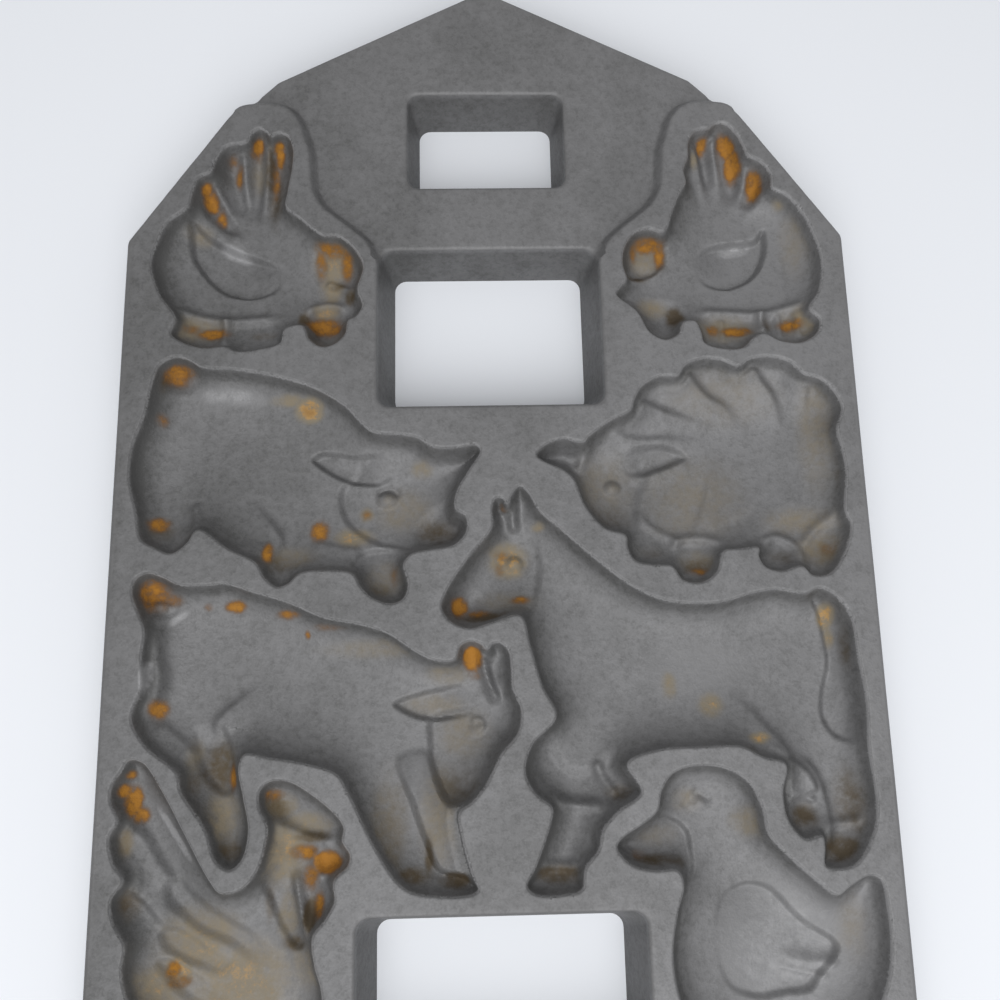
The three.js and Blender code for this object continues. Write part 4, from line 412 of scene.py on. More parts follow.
BURNT = {
    "left_hen": [(-86, 254.4, 1.8, 4.4, 0.9), (-79.4, 263.6, 2.2, 4.6, 0.8), (-71, 270, 1.6, 3, 0.7),
        (-63.2, 259, 1.5, 8, 0.7), (-61.4, 250, 2.6, 8, 0.5), (-52.4, 211.4, 1.6, 3, 0.9),
        (-38.6, 218, 2, 2.2, 0.8), (-42.6, 221.8, 2.6, 1, 0.6), (-64, 206.4, 4, 1.4, 0.4)],
    "right_hen": [(76.6, 267, 2, 5, 0.9), (84, 256.6, 2, 4.8, 1), (52.8, 210.6, 2.4, 3.4, 1),
        (92, 246.6, 3, 6, 0.5), (42, 222.6, 3, 1.2, 0.7), (45, 238.4, 4, 1.5, 0.6), (80, 208, 2, 2, 0.5)],
    "pig": [(-14.6, 149.6, 5.6, 3.6, 0.6), (-93, 194, 2, 3, 0.6), (-58.6, 141, 4.6, 3, 0.4),
        (-91, 151, 4, 3.4, 0.4), (-31, 133, 4.6, 2, 0.3)],
    "sheep": [(55, 138, 4.4, 2.4, 0.6), (93, 141.6, 5.4, 5, 0.35), (97.6, 166, 1.8, 14, 0.5),
        (79, 140.4, 4, 2.2, 0.35), (32, 152.6, 5, 3.6, 0.35), (42, 142.4, 4, 2, 0.3)],
    "goat": [(-73.6, 88.6, 4.6, 6, 0.7), (-70.4, 67.6, 4, 3, 0.6), (-79.6, 84.4, 2.4, 3.6, 0.4),
        (-22, 60, 5, 2.2, 0.7), (-10.4, 59, 4, 2, 0.9), (-17.6, 65, 1.3, 5, 0.8), (-28, 70, 5, 12, 0.3),
        (-9, 82, 6.6, 6, 0.35), (-97, 131, 1.6, 5, 0.6)],
    "horse": [(14, 59, 6, 2.2, 0.8), (89.6, 63, 5.4, 3.6, 0.9), (80, 72, 3.4, 2.8, 0.8),
        (95.4, 117, 1.8, 6, 0.5), (93, 75, 4, 9, 0.5), (31, 79, 4, 2.2, 0.45), (-4, 126.6, 7, 1.5, 0.8)],
    "rooster": [(-96.6, 71.6, 3, 4.6, 0.45), (-96, 56.6, 4.4, 4.4, 0.6), (-57.4, 79.8, 4, 3.6, 0.6),
        (-47.4, 72, 4.4, 1.5, 0.8), (-47.6, 52.4, 1.7, 4, 1.3), (-52, 45.4, 3, 1.7, 0.8),
        (-58.6, 56, 1.3, 6, 0.4), (-99.4, 82, 1.4, 4, 0.6)],
    "duck": [(38.4, 63.4, 7, 2, 0.8), (69, 74, 1.8, 6, 0.25), (99, 42, 2, 8, 0.3)],
}

OCHRE = {
    "left_hen": [(-44.6, 222, 3.4, 5, 0.5), (-84, 239, 4, 2.6, 0.3), (-66.6, 258, 3, 6, 0.3),
        (-46, 214.4, 4, 2.6, 0.5), (-84, 208, 9, 4, 0.4), (-43.8, 229.6, 5.4, 6.4, 0.55)],
    "right_hen": [(86.6, 247.4, 2.6, 3, 0.5), (46.2, 214, 4.4, 3, 0.45), (61, 261, 1.6, 3, 0.4),
        (90.4, 210, 2, 1.5, 0.5), (67, 206.6, 8, 4, 0.5), (91, 208.6, 7, 4.4, 0.5),
        (90, 234, 4, 10, 0.25), (45, 230, 5.4, 5.4, 0.4)],
    "pig": [(-50.8, 185.6, 3.6, 2.9, 1.1), (-57, 188.6, 4.4, 1.6, 0.5), (-24, 156, 8, 6, 0.3),
        (-38, 148.6, 5, 2.6, 0.6), (-18.6, 168, 3, 2.4, 0.4), (-34.6, 155.4, 2.2, 2, 0.5),
        (-29, 136, 5, 5, 0.3), (-55, 143, 7, 3, 0.3)],
    "sheep": [(92, 178, 5, 18, 0.28), (86, 151, 10, 4, 0.35), (56, 158, 14, 12, 0.25), (30, 162, 9, 9, 0.25),
        (90, 143, 6, 5, 0.4), (66, 188, 16, 8, 0.2), (55, 140, 5, 3, 0.3)],
    "goat": [(-80, 91.6, 2.2, 4.4, 0.3), (-72, 76, 4.4, 6.6, 0.45),
        (-30, 119.4, 15, 2.6, 0.28), (-8, 96, 7, 6, 0.3), (-16, 104, 8, 3, 0.3), (-12, 112, 6, 3, 0.3),
        (-15, 75, 5, 12, 0.35), (-28, 74, 5, 12, 0.25), (-72, 89, 3.6, 5, 0.3)],
    "horse": [(2.4, 142.6, 4.8, 4.2, 0.85), (46.4, 107, 2, 3.4, 0.5), (57.4, 101.6, 3.2, 3, 0.6),
        (69.6, 92.6, 2.6, 1.4, 0.8), (90.6, 125, 2, 3.4, 0.9), (91.6, 119.4, 1.3, 2.8, 0.6),
        (11, 151.6, 1.8, 1.4, 0.5), (2, 131, 8, 3, 0.25)],
    "rooster": [(-76, 46, 10, 8, 0.5), (-66, 37, 13, 9, 0.6), (-86, 35, 7, 7, 0.5), (-54.6, 68, 6, 8, 0.55),
        (-54, 52, 3, 6, 0.4), (-95.6, 71.6, 1.6, 3, 0.5), (-82, 39, 4, 4, 0.8), (-70, 26, 20, 10, 0.45),
        (-48.6, 40, 5, 6, 0.3), (-49, 75, 6, 3, 0.5), (-56, 80, 4, 3, 0.5)],
    "duck": [(64, 73.4, 4.4, 4, 0.35), (48, 79, 4, 3, 0.3), (90, 46, 4, 8, 0.22), (40, 70, 6, 3, 0.2)],
}

# Painted highlights: patches of floor painted brighter, as above.
PAINTED_LIT_PATCHES = {
    "left_hen": [(-56.4, 240, 5, 5, 0.4)],
    "right_hen": [(60, 246, 5, 6, 0.4)],
    "pig": [],
    "sheep": [(56, 190, 20, 6, 0.5)],
    "goat": [(-20, 80, 5, 14, 0.75)],
    "horse": [(55, 112, 26, 12, 0.55)],
    "rooster": [(-66, 34, 20, 16, 1.1)],
    "duck": [(72, 40, 20, 22, 0.85)],
}

# Painted highlights along lips and slopes: half width, strength and the line.
PAINTED_GLINTS = {
    "left_hen": [(2.4, 1.15, [(-82, 237.6), (-79, 236), (-74.6, 234.2), (-70.4, 232.4), (-65, 230)])],
    "right_hen": [(2.2, 1.1, [(63, 232), (71.6, 233.4), (76, 234.2), (82, 236.8)])],
    "pig": [(4, 0.82, [(-91, 186.5), (-84, 190), (-75.4, 190.4), (-64, 189), (-54, 186.4)])],
    "sheep": [],
    "goat": [(1.5, 1.05, [(-80.6, 131.6), (-86.6, 128.6), (-90.4, 124)]),
        (1.8, 1.15, [(-91.6, 120.5), (-92.8, 112), (-92.4, 104.5)])],
    "horse": [],
    "rooster": [(1.3, 1.3, [(-91.4, 85), (-86.6, 78), (-80.2, 68.6), (-75.6, 61.6)])],
    "duck": [],
}

# The spot of rust at the roof's tip, as a patch.
RIDGE_RUST = [(2, 321.4, 1.6, 1.1, 0.3)]

# Cup walls and floor, as distances inside the lip and depths below the face.
CUP_MARGIN = 1.2  # a cup's piece reaches this far out on the face
LIP_ROUND = 0.4  # the lip's rounding reaches this far to both sides
WALL_DROP, WALL_RUN = 4.4, 1.3
FOOT_DROP, FOOT_RUN = 3.2, 3.6
CROWN_FROM, CROWN_RUN = 3, 17
RELIEF_FROM, RELIEF_RUN = 0.6, 3
LOBE_SPILL = 0.4
BOARD_DEPTH = 1.8  # boards left standing between legs reach up to this under the face
RIDGE_TAPER = 0.2
BLOB_REACH, BLOB_POWER = 1.6, 1.5
SHELL_DROP, SHELL_RUN, SHELL_CROWN, SHELL_FLOOR = 8.5, 4, 15, 5.4
LIMB_FROM, LIMB_RUN = 1, 1.5

# The face: its step down to the gable, how far pieces reach out on it, and its waviness.
STEP_FROM, STEP_RUN = -0.4, 3.2
SEAM_OUT = 1.4  # the gable panel's piece takes in the step and this much of the pads
WINDOW_MARGIN = 1.82  # a window's piece takes in this much of the face
LONG_WAVE, LONG_START = (11, 13), (0.7, 1.1)
SHORT_WAVE, SHORT_SHARE = (6.1, 8.7), 0.6

# The rim. The inset keeps its outer face from lying in the same plane as the panel's edge.
WALL_INSET = 0.03
FOOT_BEVEL, FOOT_SEGMENTS = 0.7, 3
FACING, SIDEWAYS = 0.9, 0.1  # least share of a normal along a direction, most for one that points aside

# Vertex layers that the iron's finish follows: polish from use with painted highlights, painted shade, burnt
# film, ochre bloom and rust.
LAYERS = ("wear_and_sheen", "dark_iron_and_shade", "burnt", "ochre", "rust")
SPOT_REACH, SPOT_FALL = 1.7, 1.5  # in half sizes of a patch
STROKE_REACH, STROKE_TAPER = 1.6, 0.4  # in half widths of a line, and as a share of its length
FILM_FROM, FILM_RUN = 0.4, 1.5  # film and rust begin inside the lip
PAINTED_SHADE_RUN = 0.8  # painted shade on walls begins at the lip
# Painted shade on the walls of cups and windows: strength, and how far in it reaches and fades; in cups the
# walls that face the roof get none.
PAINTED_WALL_SHADE, WALL_REACH, WALL_FADE = 0.6, 3.6, 2.4
PAINTED_LEFT_WALL_SHADE, SHADE_REACH, SHADE_FADE = 0.45, 8, 5  # painted shade: left walls are painted darker too, and further in
STEP_ASIDE = 0.1  # how far aside the wall's direction is felt for

# Bands painted brighter, as polish from use and on lips also as painted highlight: the middle's distance
# inside an edge, half width and fullness.
EDGE_BAND = (0.4, 1, 1.6)  # in units of the edge's rounding
STEP_BAND = (-0.1, 0.6, 1.5)
LIP_BAND = (0.05, 0.25, 1.5)
EDGE_WEAR, STEP_WEAR, SILL_WEAR = 0.5, 0.4, 0.5
LIP_WEAR_AND_SHEEN, RIGHT_LIP_HIGHLIGHT = 0.8, 0.6  # lips are painted brighter, partly as polish from use and partly as painted highlight; the second, a painted highlight, is added on right-hand lips

# Noise in the iron: scale, detail and roughness.
CLOUD = (34, 3, 0.55)
MOTTLE = (240, 4, 0.6)
GRAIN = (1500, 3, 0.6)
PITS = (620, 2, 0.55)
BLOTCH = (420, 3, 0.6)
PAINTED_SIDE_SHADE = 2  # painted shade and light: the iron is painted darker on the left and paler on the right, per metre

# How far each finish covers what is under it; the first is painted shade, the second bright iron from use and
# painted highlights.
PAINTED_SHADE_COVER, WEAR_AND_SHEEN_COVER, BLOOM_COVER, BURNT_COVER, RUST_COVER = 0.7, 0.6, 0.9, 0.85, 0.95
BUMP_STRENGTH, BUMP_DEPTH = 0.7, 0.18 * MM
IRON_SHINE = 0.3

# The stage, in metres: each light's place and width, the floor and the camera.
KEY_PLACE, KEY_WIDTH = (-0.03, -0.8, 0.95), 1.2
TOP_PLACE, TOP_WIDTH = (0.05, -0.15, 0.9), 0.5
FLOOR_WIDTH, FLOOR_ROUGHNESS, FLOOR_SHINE = 6, 0.7, 0.2
FILM_WIDTH = 36  # millimetres
NEAR_CLIP = 0.01

# How closely the surfaces are sampled.
LIP_STEP = 0.8
LIP_RINGS = [-0.7, -0.4, -0.2, 0, 0.2, 0.4, 0.65, 0.9, 1.2, 1.5, 1.8, 2.1, 2.5, 3, 3.5, 4.1, 4.8]
FLOOR_GRID = 0.5
FACE_GRID = 3
STEP_LINES = [-0.9, -0.4, 0, 0.35, 0.7, 1.05, 1.4, 1.75, 2.1, 2.45, 2.8, 3.3]
WINDOW_STEP = 1.5
WINDOW_LEVELS = (0, 0.25, 0.5, 0.75, 0.92)  # rings of a window's wall, as shares of its height
WINDOW_SHARP = slice(7, 10)  # rings round a window's lip that are rubbed bright
WINDOW_INSIDE = 0.4  # the lip's height is read this far inside the window
PAD_STEP_GRID = 1
ARC_STEPS = 7
ROUND_STEP = 15  # degrees between the lines that round an edge
RING_GAP, LINE_GAP = 0.16, 0.2  # cells that keep one point each of the rings and lines
FLOOR_GAP, FACE_GAP = 0.62, 0.5  # a grid stays this share of its spacing away from those points
CUP_GAP, OUTLINE_GAP, HOLE_GAP = 0.12, 0.02, 0.25  # inner points stay this far from the loops
LEAST_AWAY = 0.1  # keeps the room at the ring itself above nought
LEAST_MITRE = 0.6  # keeps sharp corners from shooting out
FOLD_SHARE = 0.97  # points that end up nearer than this share of their offset lie in a fold
WELD = 1e-6
CHUNK = 1500  # points that are worked on at a time
SMOOTH_ANGLE = radians(38)


class MouldSizes(bpy.types.PropertyGroup):
    """Sizes of the casting"""
    width: FloatProperty(name="Width", description="Across the barn", default=0.210, unit="LENGTH")
    length: FloatProperty(name="Length", description="Bottom edge to ridge", default=0.324, unit="LENGTH")
    height: FloatProperty(name="Height", description="Rim to face", default=0.020, unit="LENGTH")
    web: FloatProperty(name="Web", description="Thickness of the face", default=0.004, unit="LENGTH")
    recess: FloatProperty(name="Recess", description="Drop of the gable", default=0.004, unit="LENGTH")
    skirt: FloatProperty(name="Rim Wall", description="Thickness of the rim", default=0.0023, unit="LENGTH")
    corner: FloatProperty(name="Corner", description="Radius of the corners", default=0.004, unit="LENGTH")
    ridge: FloatProperty(name="Ridge", description="Radius of the roof's tip", default=0.0054, unit="LENGTH")
    edge: FloatProperty(name="Edge", description="Rounding of the outer edge", default=0.0013, unit="LENGTH")
    sill: FloatProperty(name="Sill", description="Rounding of the windows' lips",
        default=0.0012, unit="LENGTH")
    window_corner: FloatProperty(name="Window Corner", description="Radius of the windows' corners",
        default=0.0036, unit="LENGTH")
    draft: FloatProperty(name="Draft", description="Lean of the window walls per unit of depth",
        default=0.195)
    unevenness: FloatProperty(name="Unevenness", description="Waviness of the sand-cast face",
        default=0.00012, unit="LENGTH")


class MouldFinish(bpy.types.PropertyGroup):
    """Colours of the iron"""
    iron: FloatVectorProperty(name="Iron", description="Bare grey iron", subtype="COLOR", size=3,
        default=(0.204, 0.204, 0.209))
    # Bright iron, for lips and edges polished by use and for painted highlights.
    worn_and_lit: FloatVectorProperty(name="Worn Iron", description="Rubbed lips and edges", subtype="COLOR", size=3,
        default=(0.38, 0.38, 0.39))
    # Dark iron, for dark patches at random and for painted shade.
    dark_iron_and_shade: FloatVectorProperty(name="Dark Iron", description="Dark patches of old seasoning", subtype="COLOR",
        size=3, default=(0.1, 0.1, 0.1))
    burnt: FloatVectorProperty(name="Burnt Film", description="Brown film on walls and hooves",
        subtype="COLOR", size=3, default=(0.085, 0.06, 0.03))
    film: FloatVectorProperty(name="Old Film", description="Thin olive film on the floors", subtype="COLOR",
        size=3, default=(0.21, 0.176, 0.122))
    ochre: FloatVectorProperty(name="Ochre Bloom", description="Pale rust on the floors", subtype="COLOR",
        size=3, default=(0.42, 0.25, 0.085))
    rust: FloatVectorProperty(name="Rust", description="Orange rust", subtype="COLOR", size=3,
        default=(0.36, 0.158, 0.016))
    old_rust: FloatVectorProperty(name="Old Rust", description="Brown rust", subtype="COLOR", size=3,
        default=(0.12, 0.056, 0.015))
    roughness: FloatProperty(name="Roughness", description="Roughness of the iron", default=0.58,
        min=0, max=1)
    metallic: FloatProperty(name="Metallic", description="Share of metal in the shine", default=0.3,
        min=0, max=1)


class MouldStage(bpy.types.PropertyGroup):
    """Floor, light and camera"""
    floor: FloatVectorProperty(name="Floor", description="Colour of the floor", subtype="COLOR", size=3,
        default=(0.82, 0.845, 0.89))
    camera: FloatVectorProperty(name="Camera", description="Place of the camera", subtype="TRANSLATION",
        size=3, default=(-0.006047, -0.06161, 0.29416))
    turn: FloatVectorProperty(name="Camera Turn", description="Turns of the camera about X, Y and Z",
        subtype="EULER", size=3, default=(-0.211, 0.028, 0.016))
    lens: FloatProperty(name="Lens", description="Focal length on a 36 mm frame", default=36.42)
    key: FloatProperty(name="Key Light", description="Power of the soft light before the near edge",
        default=10.2, unit="POWER")
    fill: FloatProperty(name="Top Light", description="Power of the light over the middle", default=1.6,
        unit="POWER")
    sky: FloatProperty(name="Room Light", description="Strength of the even light of the room", default=0.46)


class Millimetres:
    """Reads the sizes in millimetres"""

    def __init__(self, group):
        self.group = group

    def __getattr__(self, name):
        return getattr(self.group, name) / MM


def smooth(t):
    t = np.clip(t, 0, 1)
    return t * t * (3 - 2 * t)


def spline(points, closed, step):
    """A smooth curve through given points, sampled about every step."""
    knots = np.array(points, float)
    count = len(knots)
    samples = []
    for i in range(count if closed else count - 1):
        b, c = knots[i], knots[(i + 1) % count]
        a = knots[i - 1] if closed or i else 2 * b - c
        d = knots[(i + 2) % count] if closed or i + 2 < count else 2 * c - b
        t1 = np.linalg.norm(b - a) ** 0.5
        t2 = t1 + np.linalg.norm(c - b) ** 0.5
        t3 = t2 + np.linalg.norm(d - c) ** 0.5
        cuts = max(2, round(float(np.linalg.norm(c - b)) / step))
        t = np.linspace(t1, t2, cuts, endpoint=False)[:, None]
        ab = ((t1 - t) * a + t * b) / t1
        bc = ((t2 - t) * b + (t - t1) * c) / (t2 - t1)
        cd = ((t3 - t) * c + (t - t2) * d) / (t3 - t2)
        early = ((t2 - t) * ab + t * bc) / t2
        late = ((t3 - t) * bc + (t - t1) * cd) / (t3 - t1)
        samples.append(((t2 - t) * early + (t - t1) * late) / (t2 - t1))
    if not closed:
        samples.append(knots[-1:])
    return np.vstack(samples)


def counter_clockwise(ring):
    x, y = ring.T
    return ring if np.sum(x * np.roll(y, -1) - np.roll(x, -1) * y) > 0 else ring[::-1]


def nearest(line, points, closed):
    """Distance to a polyline, how far along it the nearest place is, from 0 to 1, and if left of it."""
    start = line if closed else line[:-1]
    edge = (np.roll(line, -1, 0) if closed else line[1:]) - start
    square = np.maximum((edge ** 2).sum(1), TINY)
    distance = np.empty(len(points))
    along = np.empty(len(points))
    left = np.empty(len(points), bool)
    for first in range(0, len(points), CHUNK):
        part = slice(first, first + CHUNK)
        gap = points[part, None] - start
        share = np.clip((gap * edge).sum(2) / square, 0, 1)
        away = ((gap - share[..., None] * edge) ** 2).sum(2)
        best = away.argmin(1)
        rows = np.arange(len(best))
        distance[part] = np.sqrt(away[rows, best])
        along[part] = (best + share[rows, best]) / len(start)
        to, on = gap[rows, best], edge[best]
        left[part] = on[:, 0] * to[:, 1] > on[:, 1] * to[:, 0]
    return distance, along, left


def is_inside(ring, points):
    a = ring
    b = np.roll(ring, -1, 0)
    rise = np.where(np.abs(b[:, 1] - a[:, 1]) < TINY, TINY, b[:, 1] - a[:, 1])
    inside = np.empty(len(points), bool)
    for first in range(0, len(points), CHUNK):
        part = slice(first, first + CHUNK)
        x, y = points[part, :1], points[part, 1:]
        crosses = (a[:, 1] > y) != (b[:, 1] > y)
        left = x < a[:, 0] + (y - a[:, 1]) * (b[:, 0] - a[:, 0]) / rise
        inside[part] = (crosses & left).sum(1) % 2 == 1
    return inside


def depth_inside(ring, points):
    """How far points lie inside a ring, negative outside it."""
    distance = nearest(ring, points, True)[0]
    return np.where(is_inside(ring, points), distance, -distance)


def room_inside(ring, points):
    """A distance from the ring that stays smooth along the middle of legs and necks."""
    middle = (ring + np.roll(ring, -1, 0)) / 2
    length = np.linalg.norm(np.roll(ring, -1, 0) - ring, axis=1)
    room = np.empty(len(points))
    for first in range(0, len(points), CHUNK):
        part = slice(first, first + CHUNK)
        away = np.sqrt(((points[part, None] - middle) ** 2).sum(2))
        room[part] = (2 / (length / np.maximum(away, LEAST_AWAY) ** 3).sum(1)) ** 0.5
    return room


def offset(ring, distance):
    """The ring moved sideways, outwards where distance is positive, without the places where it folds."""
    ahead = np.roll(ring, -1, 0) - ring
    ahead /= np.linalg.norm(ahead, axis=1)[:, None]
    normal = np.stack([ahead[:, 1], -ahead[:, 0]], 1)
    before = np.roll(normal, 1, 0)
    mitre = np.maximum(1 + (normal * before).sum(1), LEAST_MITRE)[:, None]
    moved = ring + (normal + before) * distance / mitre
    return moved[nearest(ring, moved, True)[0] >= abs(distance) * FOLD_SHARE]


def mirrored(points):
    return [(-x, y) for x, y in reversed(points)]


def barn_corners(size):
    """Each corner of the barn, with the arc that rounds it: start, end, centre and turn."""
    right = [(size.width / 2, 0)] + ROOF_RIGHT
    corners = [np.array(p, float) for p in mirrored(right)[-1:] + right + [RIDGE] + mirrored(right)[:-1]]
    arcs = []
    for i, at in enumerate(corners):
        back = corners[i - 1] - at
        on = corners[(i + 1) % len(corners)] - at
        back /= np.linalg.norm(back)
        on /= np.linalg.norm(on)
        radius = size.ridge if at[0] == 0 else size.corner
        turn = pi - np.arccos(np.clip(back @ on, -1, 1))
        cut = radius * tan(turn / 2)
        middle = (back + on) / np.linalg.norm(back + on)
        arcs.append(dict(start=at + back * cut, end=at + on * cut, turn=turn, radius=radius,
            centre=at + middle * radius / cos(turn / 2)))
    return arcs


def barn_ring(size):
    """The barn's rounded outline."""
    ring = []
    arcs = barn_corners(size)
    for arc, following in zip(arcs, arcs[1:] + arcs[:1]):
        from_centre = arc["start"] - arc["centre"]
        first = atan2(from_centre[1], from_centre[0])
        for share in np.linspace(0, 1, ARC_STEPS):
            angle = first + arc["turn"] * share
            ring.append(arc["centre"] + arc["radius"] * np.array([cos(angle), sin(angle)]))
        run = following["start"] - arc["end"]
        cuts = max(2, round(np.linalg.norm(run) / FACE_GRID))
        ring += [arc["end"] + run * k / cuts for k in range(1, cuts)]
    return np.array(ring)


def window_ring(size, name, grow):
    """A window's rounded outline, with the same count of points at any growth."""
    half, low, high = WINDOWS[name]
    r = size.window_corner
    ring = []
    corners = [(half, low, -pi / 2), (half, high, 0), (-half, high, pi / 2), (-half, low, pi)]
    for (x, y, first), (x2, y2, _) in zip(corners, corners[1:] + corners[:1]):
        grown = [np.array([px + grow * np.sign(px), py + (grow if py == high else -grow)])
            for px, py in ((x, y), (x2, y2))]
        centre, centre2 = [p - r * np.array([np.sign(p[0]), 1 if q == high else -1])
            for p, q in zip(grown, (y, y2))]
        for share in np.linspace(0, 1, ARC_STEPS):
            angle = first + share * pi / 2
            ring.append(centre + r * np.array([cos(angle), sin(angle)]))
        out = r * np.array([cos(first + pi / 2), sin(first + pi / 2)])
        cuts = round(hypot(x2 - x, y2 - y) / WINDOW_STEP)
        ring += [centre + out + (centre2 - centre) * k / cuts for k in range(1, cuts)]
    return np.array(ring)


@lru_cache(maxsize=None)
def gable_ring():
    """The lowered gable's outline, run out past the roof."""
    step = spline(PAD_STEP, False, PAD_STEP_GRID)
    left = step[::-1] * (-1, 1)
    return counter_clockwise(np.vstack([step, np.array(BEYOND_ROOF, float), left]))


@lru_cache(maxsize=None)
def lip_ring(name):
    return counter_clockwise(spline(ANIMALS[name]["outline"], True, LIP_STEP))


@lru_cache(maxsize=None)
def cup_ring(name):
    """Where a cup's piece ends on the face."""
    return offset(lip_ring(name), CUP_MARGIN)


def face_height(size, points):
    """Height of the face over the rim, without cups, windows and outer edge."""
    x, y = points.T
    long = np.sin(x / LONG_WAVE[0] + LONG_START[0]) * np.sin(y / LONG_WAVE[1] + LONG_START[1])
    wave = long + SHORT_SHARE * np.sin(x / SHORT_WAVE[0] + y / SHORT_WAVE[1]) - (1 + SHORT_SHARE)
    lowered = smooth((depth_inside(gable_ring(), points) - STEP_FROM) / STEP_RUN)
    return size.height - size.recess * lowered + size.unevenness * wave / 2


def edge_drop(size, inside):
    """How far the rounded outer edge falls at a distance inside the outline."""
    over = np.clip(size.edge - inside, 0, size.edge)
    return size.edge - np.sqrt(size.edge ** 2 - over ** 2)


def cup_depth(inside, room, deep):
    """Depth of a cove that is steep under the rounded lip and levels out towards a crowned floor."""
    lip = np.clip(inside + LIP_ROUND, 0, 2 * LIP_ROUND) ** 2 / (4 * LIP_ROUND)
    fall = np.where(inside < LIP_ROUND, lip, inside)
    wall = WALL_DROP * (1 - np.exp(-fall / WALL_RUN))
    foot = FOOT_DROP * (1 - np.exp(-(fall + room - inside) / FOOT_RUN))
    crown = np.clip((room - CROWN_FROM) / CROWN_RUN, 0, 1)
    return wall + foot + (deep - WALL_DROP - FOOT_DROP) * (1 - (1 - crown) ** 2)


def shell_depth(size, inside, deep):
    """Depth of a cup's underside at a distance inside its piece."""
    crown = np.clip(inside / SHELL_CROWN, 0, 1)
    wall = size.web + SHELL_DROP * smooth(inside / SHELL_RUN)
    return wall + (deep + SHELL_FLOOR - size.web - SHELL_DROP) * (1 - (1 - crown) ** 2)


def close_to(line, points, reach):
    """Which points lie in the line's box, grown by reach."""
    return ((points > line.min(0) - reach) & (points < line.max(0) + reach)).all(1)


def relief_depth(animal, points):
    """Extra depth of ears, wings, cheeks, feathers, toes and eyes, and the height of boards left standing."""
    floor = np.array(animal["floor"])
    depth = np.zeros(len(points))
    board = np.zeros(len(points))
    for lobe in animal["lobes"]:
        ring = counter_clockwise(spline(np.array(lobe["edge"]) + floor, True, LIP_STEP))
        near = close_to(ring, points, lobe["soft"])
        sunk = lobe["depth"] * smooth(depth_inside(ring, points[near]) / lobe["soft"] + LOBE_SPILL)
        if "root" in lobe:
            sunk *= smooth(np.linalg.norm(points[near] - floor - lobe["root"], axis=1) / lobe["reach"])
        if lobe["depth"] > 0:
            depth[near] += sunk
        else:
            board[near] -= sunk
    for ridge in animal["ridges"]:
        line = spline(np.array(ridge["line"]) + floor, False, LIP_STEP)
        widths = np.broadcast_to(ridge["width"], 2)
        near = close_to(line, points, 3 * widths.max())
        distance, along, left = nearest(line, points[near], False)
        ends = smooth(along / RIDGE_TAPER) * smooth((1 - along) / ridge.get("fade", RIDGE_TAPER))
        depth[near] -= ridge["height"] * ends * np.exp(-(distance / np.where(left, *widths)) ** 2)
    for blob in animal["blobs"]:
        away = (((points - floor - blob["at"]) / blob["size"]) ** 2).sum(1)
        depth += blob["depth"] * np.maximum(0, 1 - away / BLOB_REACH) ** BLOB_POWER
    return depth, board


def patches(spots, floor, points):
    """Strength of listed spots at each point."""
    strength = np.zeros(len(points))
    for x, y, half_x, half_y, amount in spots:
        away = np.hypot((points[:, 0] - floor[0] - x) / half_x, (points[:, 1] - floor[1] - y) / half_y)
        strength = np.maximum(strength, amount * smooth((SPOT_REACH - away) / SPOT_FALL))
    return strength


def strokes(lines, floor, points):
    """Strength of drawn lines at each point, thinning out towards their ends."""
    strength = np.zeros(len(points))
    for half, amount, line in lines:
        line = spline(np.array(line) + floor, False, LIP_STEP)
        near = close_to(line, points, 2 * half)
        distance, along, _ = nearest(line, points[near], False)
        ends = smooth(along / STROKE_TAPER) * smooth((1 - along) / STROKE_TAPER)
        across = smooth((STROKE_REACH - distance / half) / STROKE_REACH)
        strength[near] = np.maximum(strength[near], amount * ends * across)
    return strength


def band(inside, middle, half, full):
    """1 along a line, fading out on both sides of it."""
    return smooth(full - np.abs(inside - middle) / half)


def cup_layers(name, places, inside):
    """Polish from use, painted highlights, painted shade, film and rust on a cup's upper side."""
    floor = ANIMALS[name]["floor"]
    right, up = (np.clip((depth_inside(lip_ring(name), places + aside) - inside) / STEP_ASIDE, -1, 1)
        for aside in ((STEP_ASIDE, 0), (0, STEP_ASIDE)))
    # Lips painted brighter, as polish from use and as painted highlight, and more on right-hand lips.
    lips = band(inside, *LIP_BAND) * (LIP_WEAR_AND_SHEEN - RIGHT_LIP_HIGHLIGHT * np.minimum(right, 0))
    # Painted highlights on floors and along lines.
    worn_and_lit = patches(PAINTED_LIT_PATCHES[name], floor, places)
    # Painted shade on the walls, none on those that face the roof, and more on left walls.
    walls = PAINTED_WALL_SHADE * np.minimum(1 - up, 1) * smooth((WALL_REACH - inside) / WALL_FADE)
    shade = PAINTED_LEFT_WALL_SHADE * np.maximum(right, 0) * smooth((SHADE_REACH - inside) / SHADE_FADE)
    layers = {
        "wear_and_sheen": np.maximum.reduce([lips, worn_and_lit, strokes(PAINTED_GLINTS[name], floor, places)]),
        "dark_iron_and_shade": smooth(inside / PAINTED_SHADE_RUN) * (walls + shade),
    }
    sunk = smooth((inside - FILM_FROM) / FILM_RUN)
    for layer, spots in (("burnt", BURNT), ("ochre", OCHRE), ("rust", RUST)):
        layers[layer] = patches(spots[name], floor, places) * sunk
    return layers


def thinned(points, gap):
    """The points with those dropped that share a cell of the given size."""
    _, first = np.unique(np.round(points / gap).astype(int), axis=0, return_index=True)
    return points[np.sort(first)]


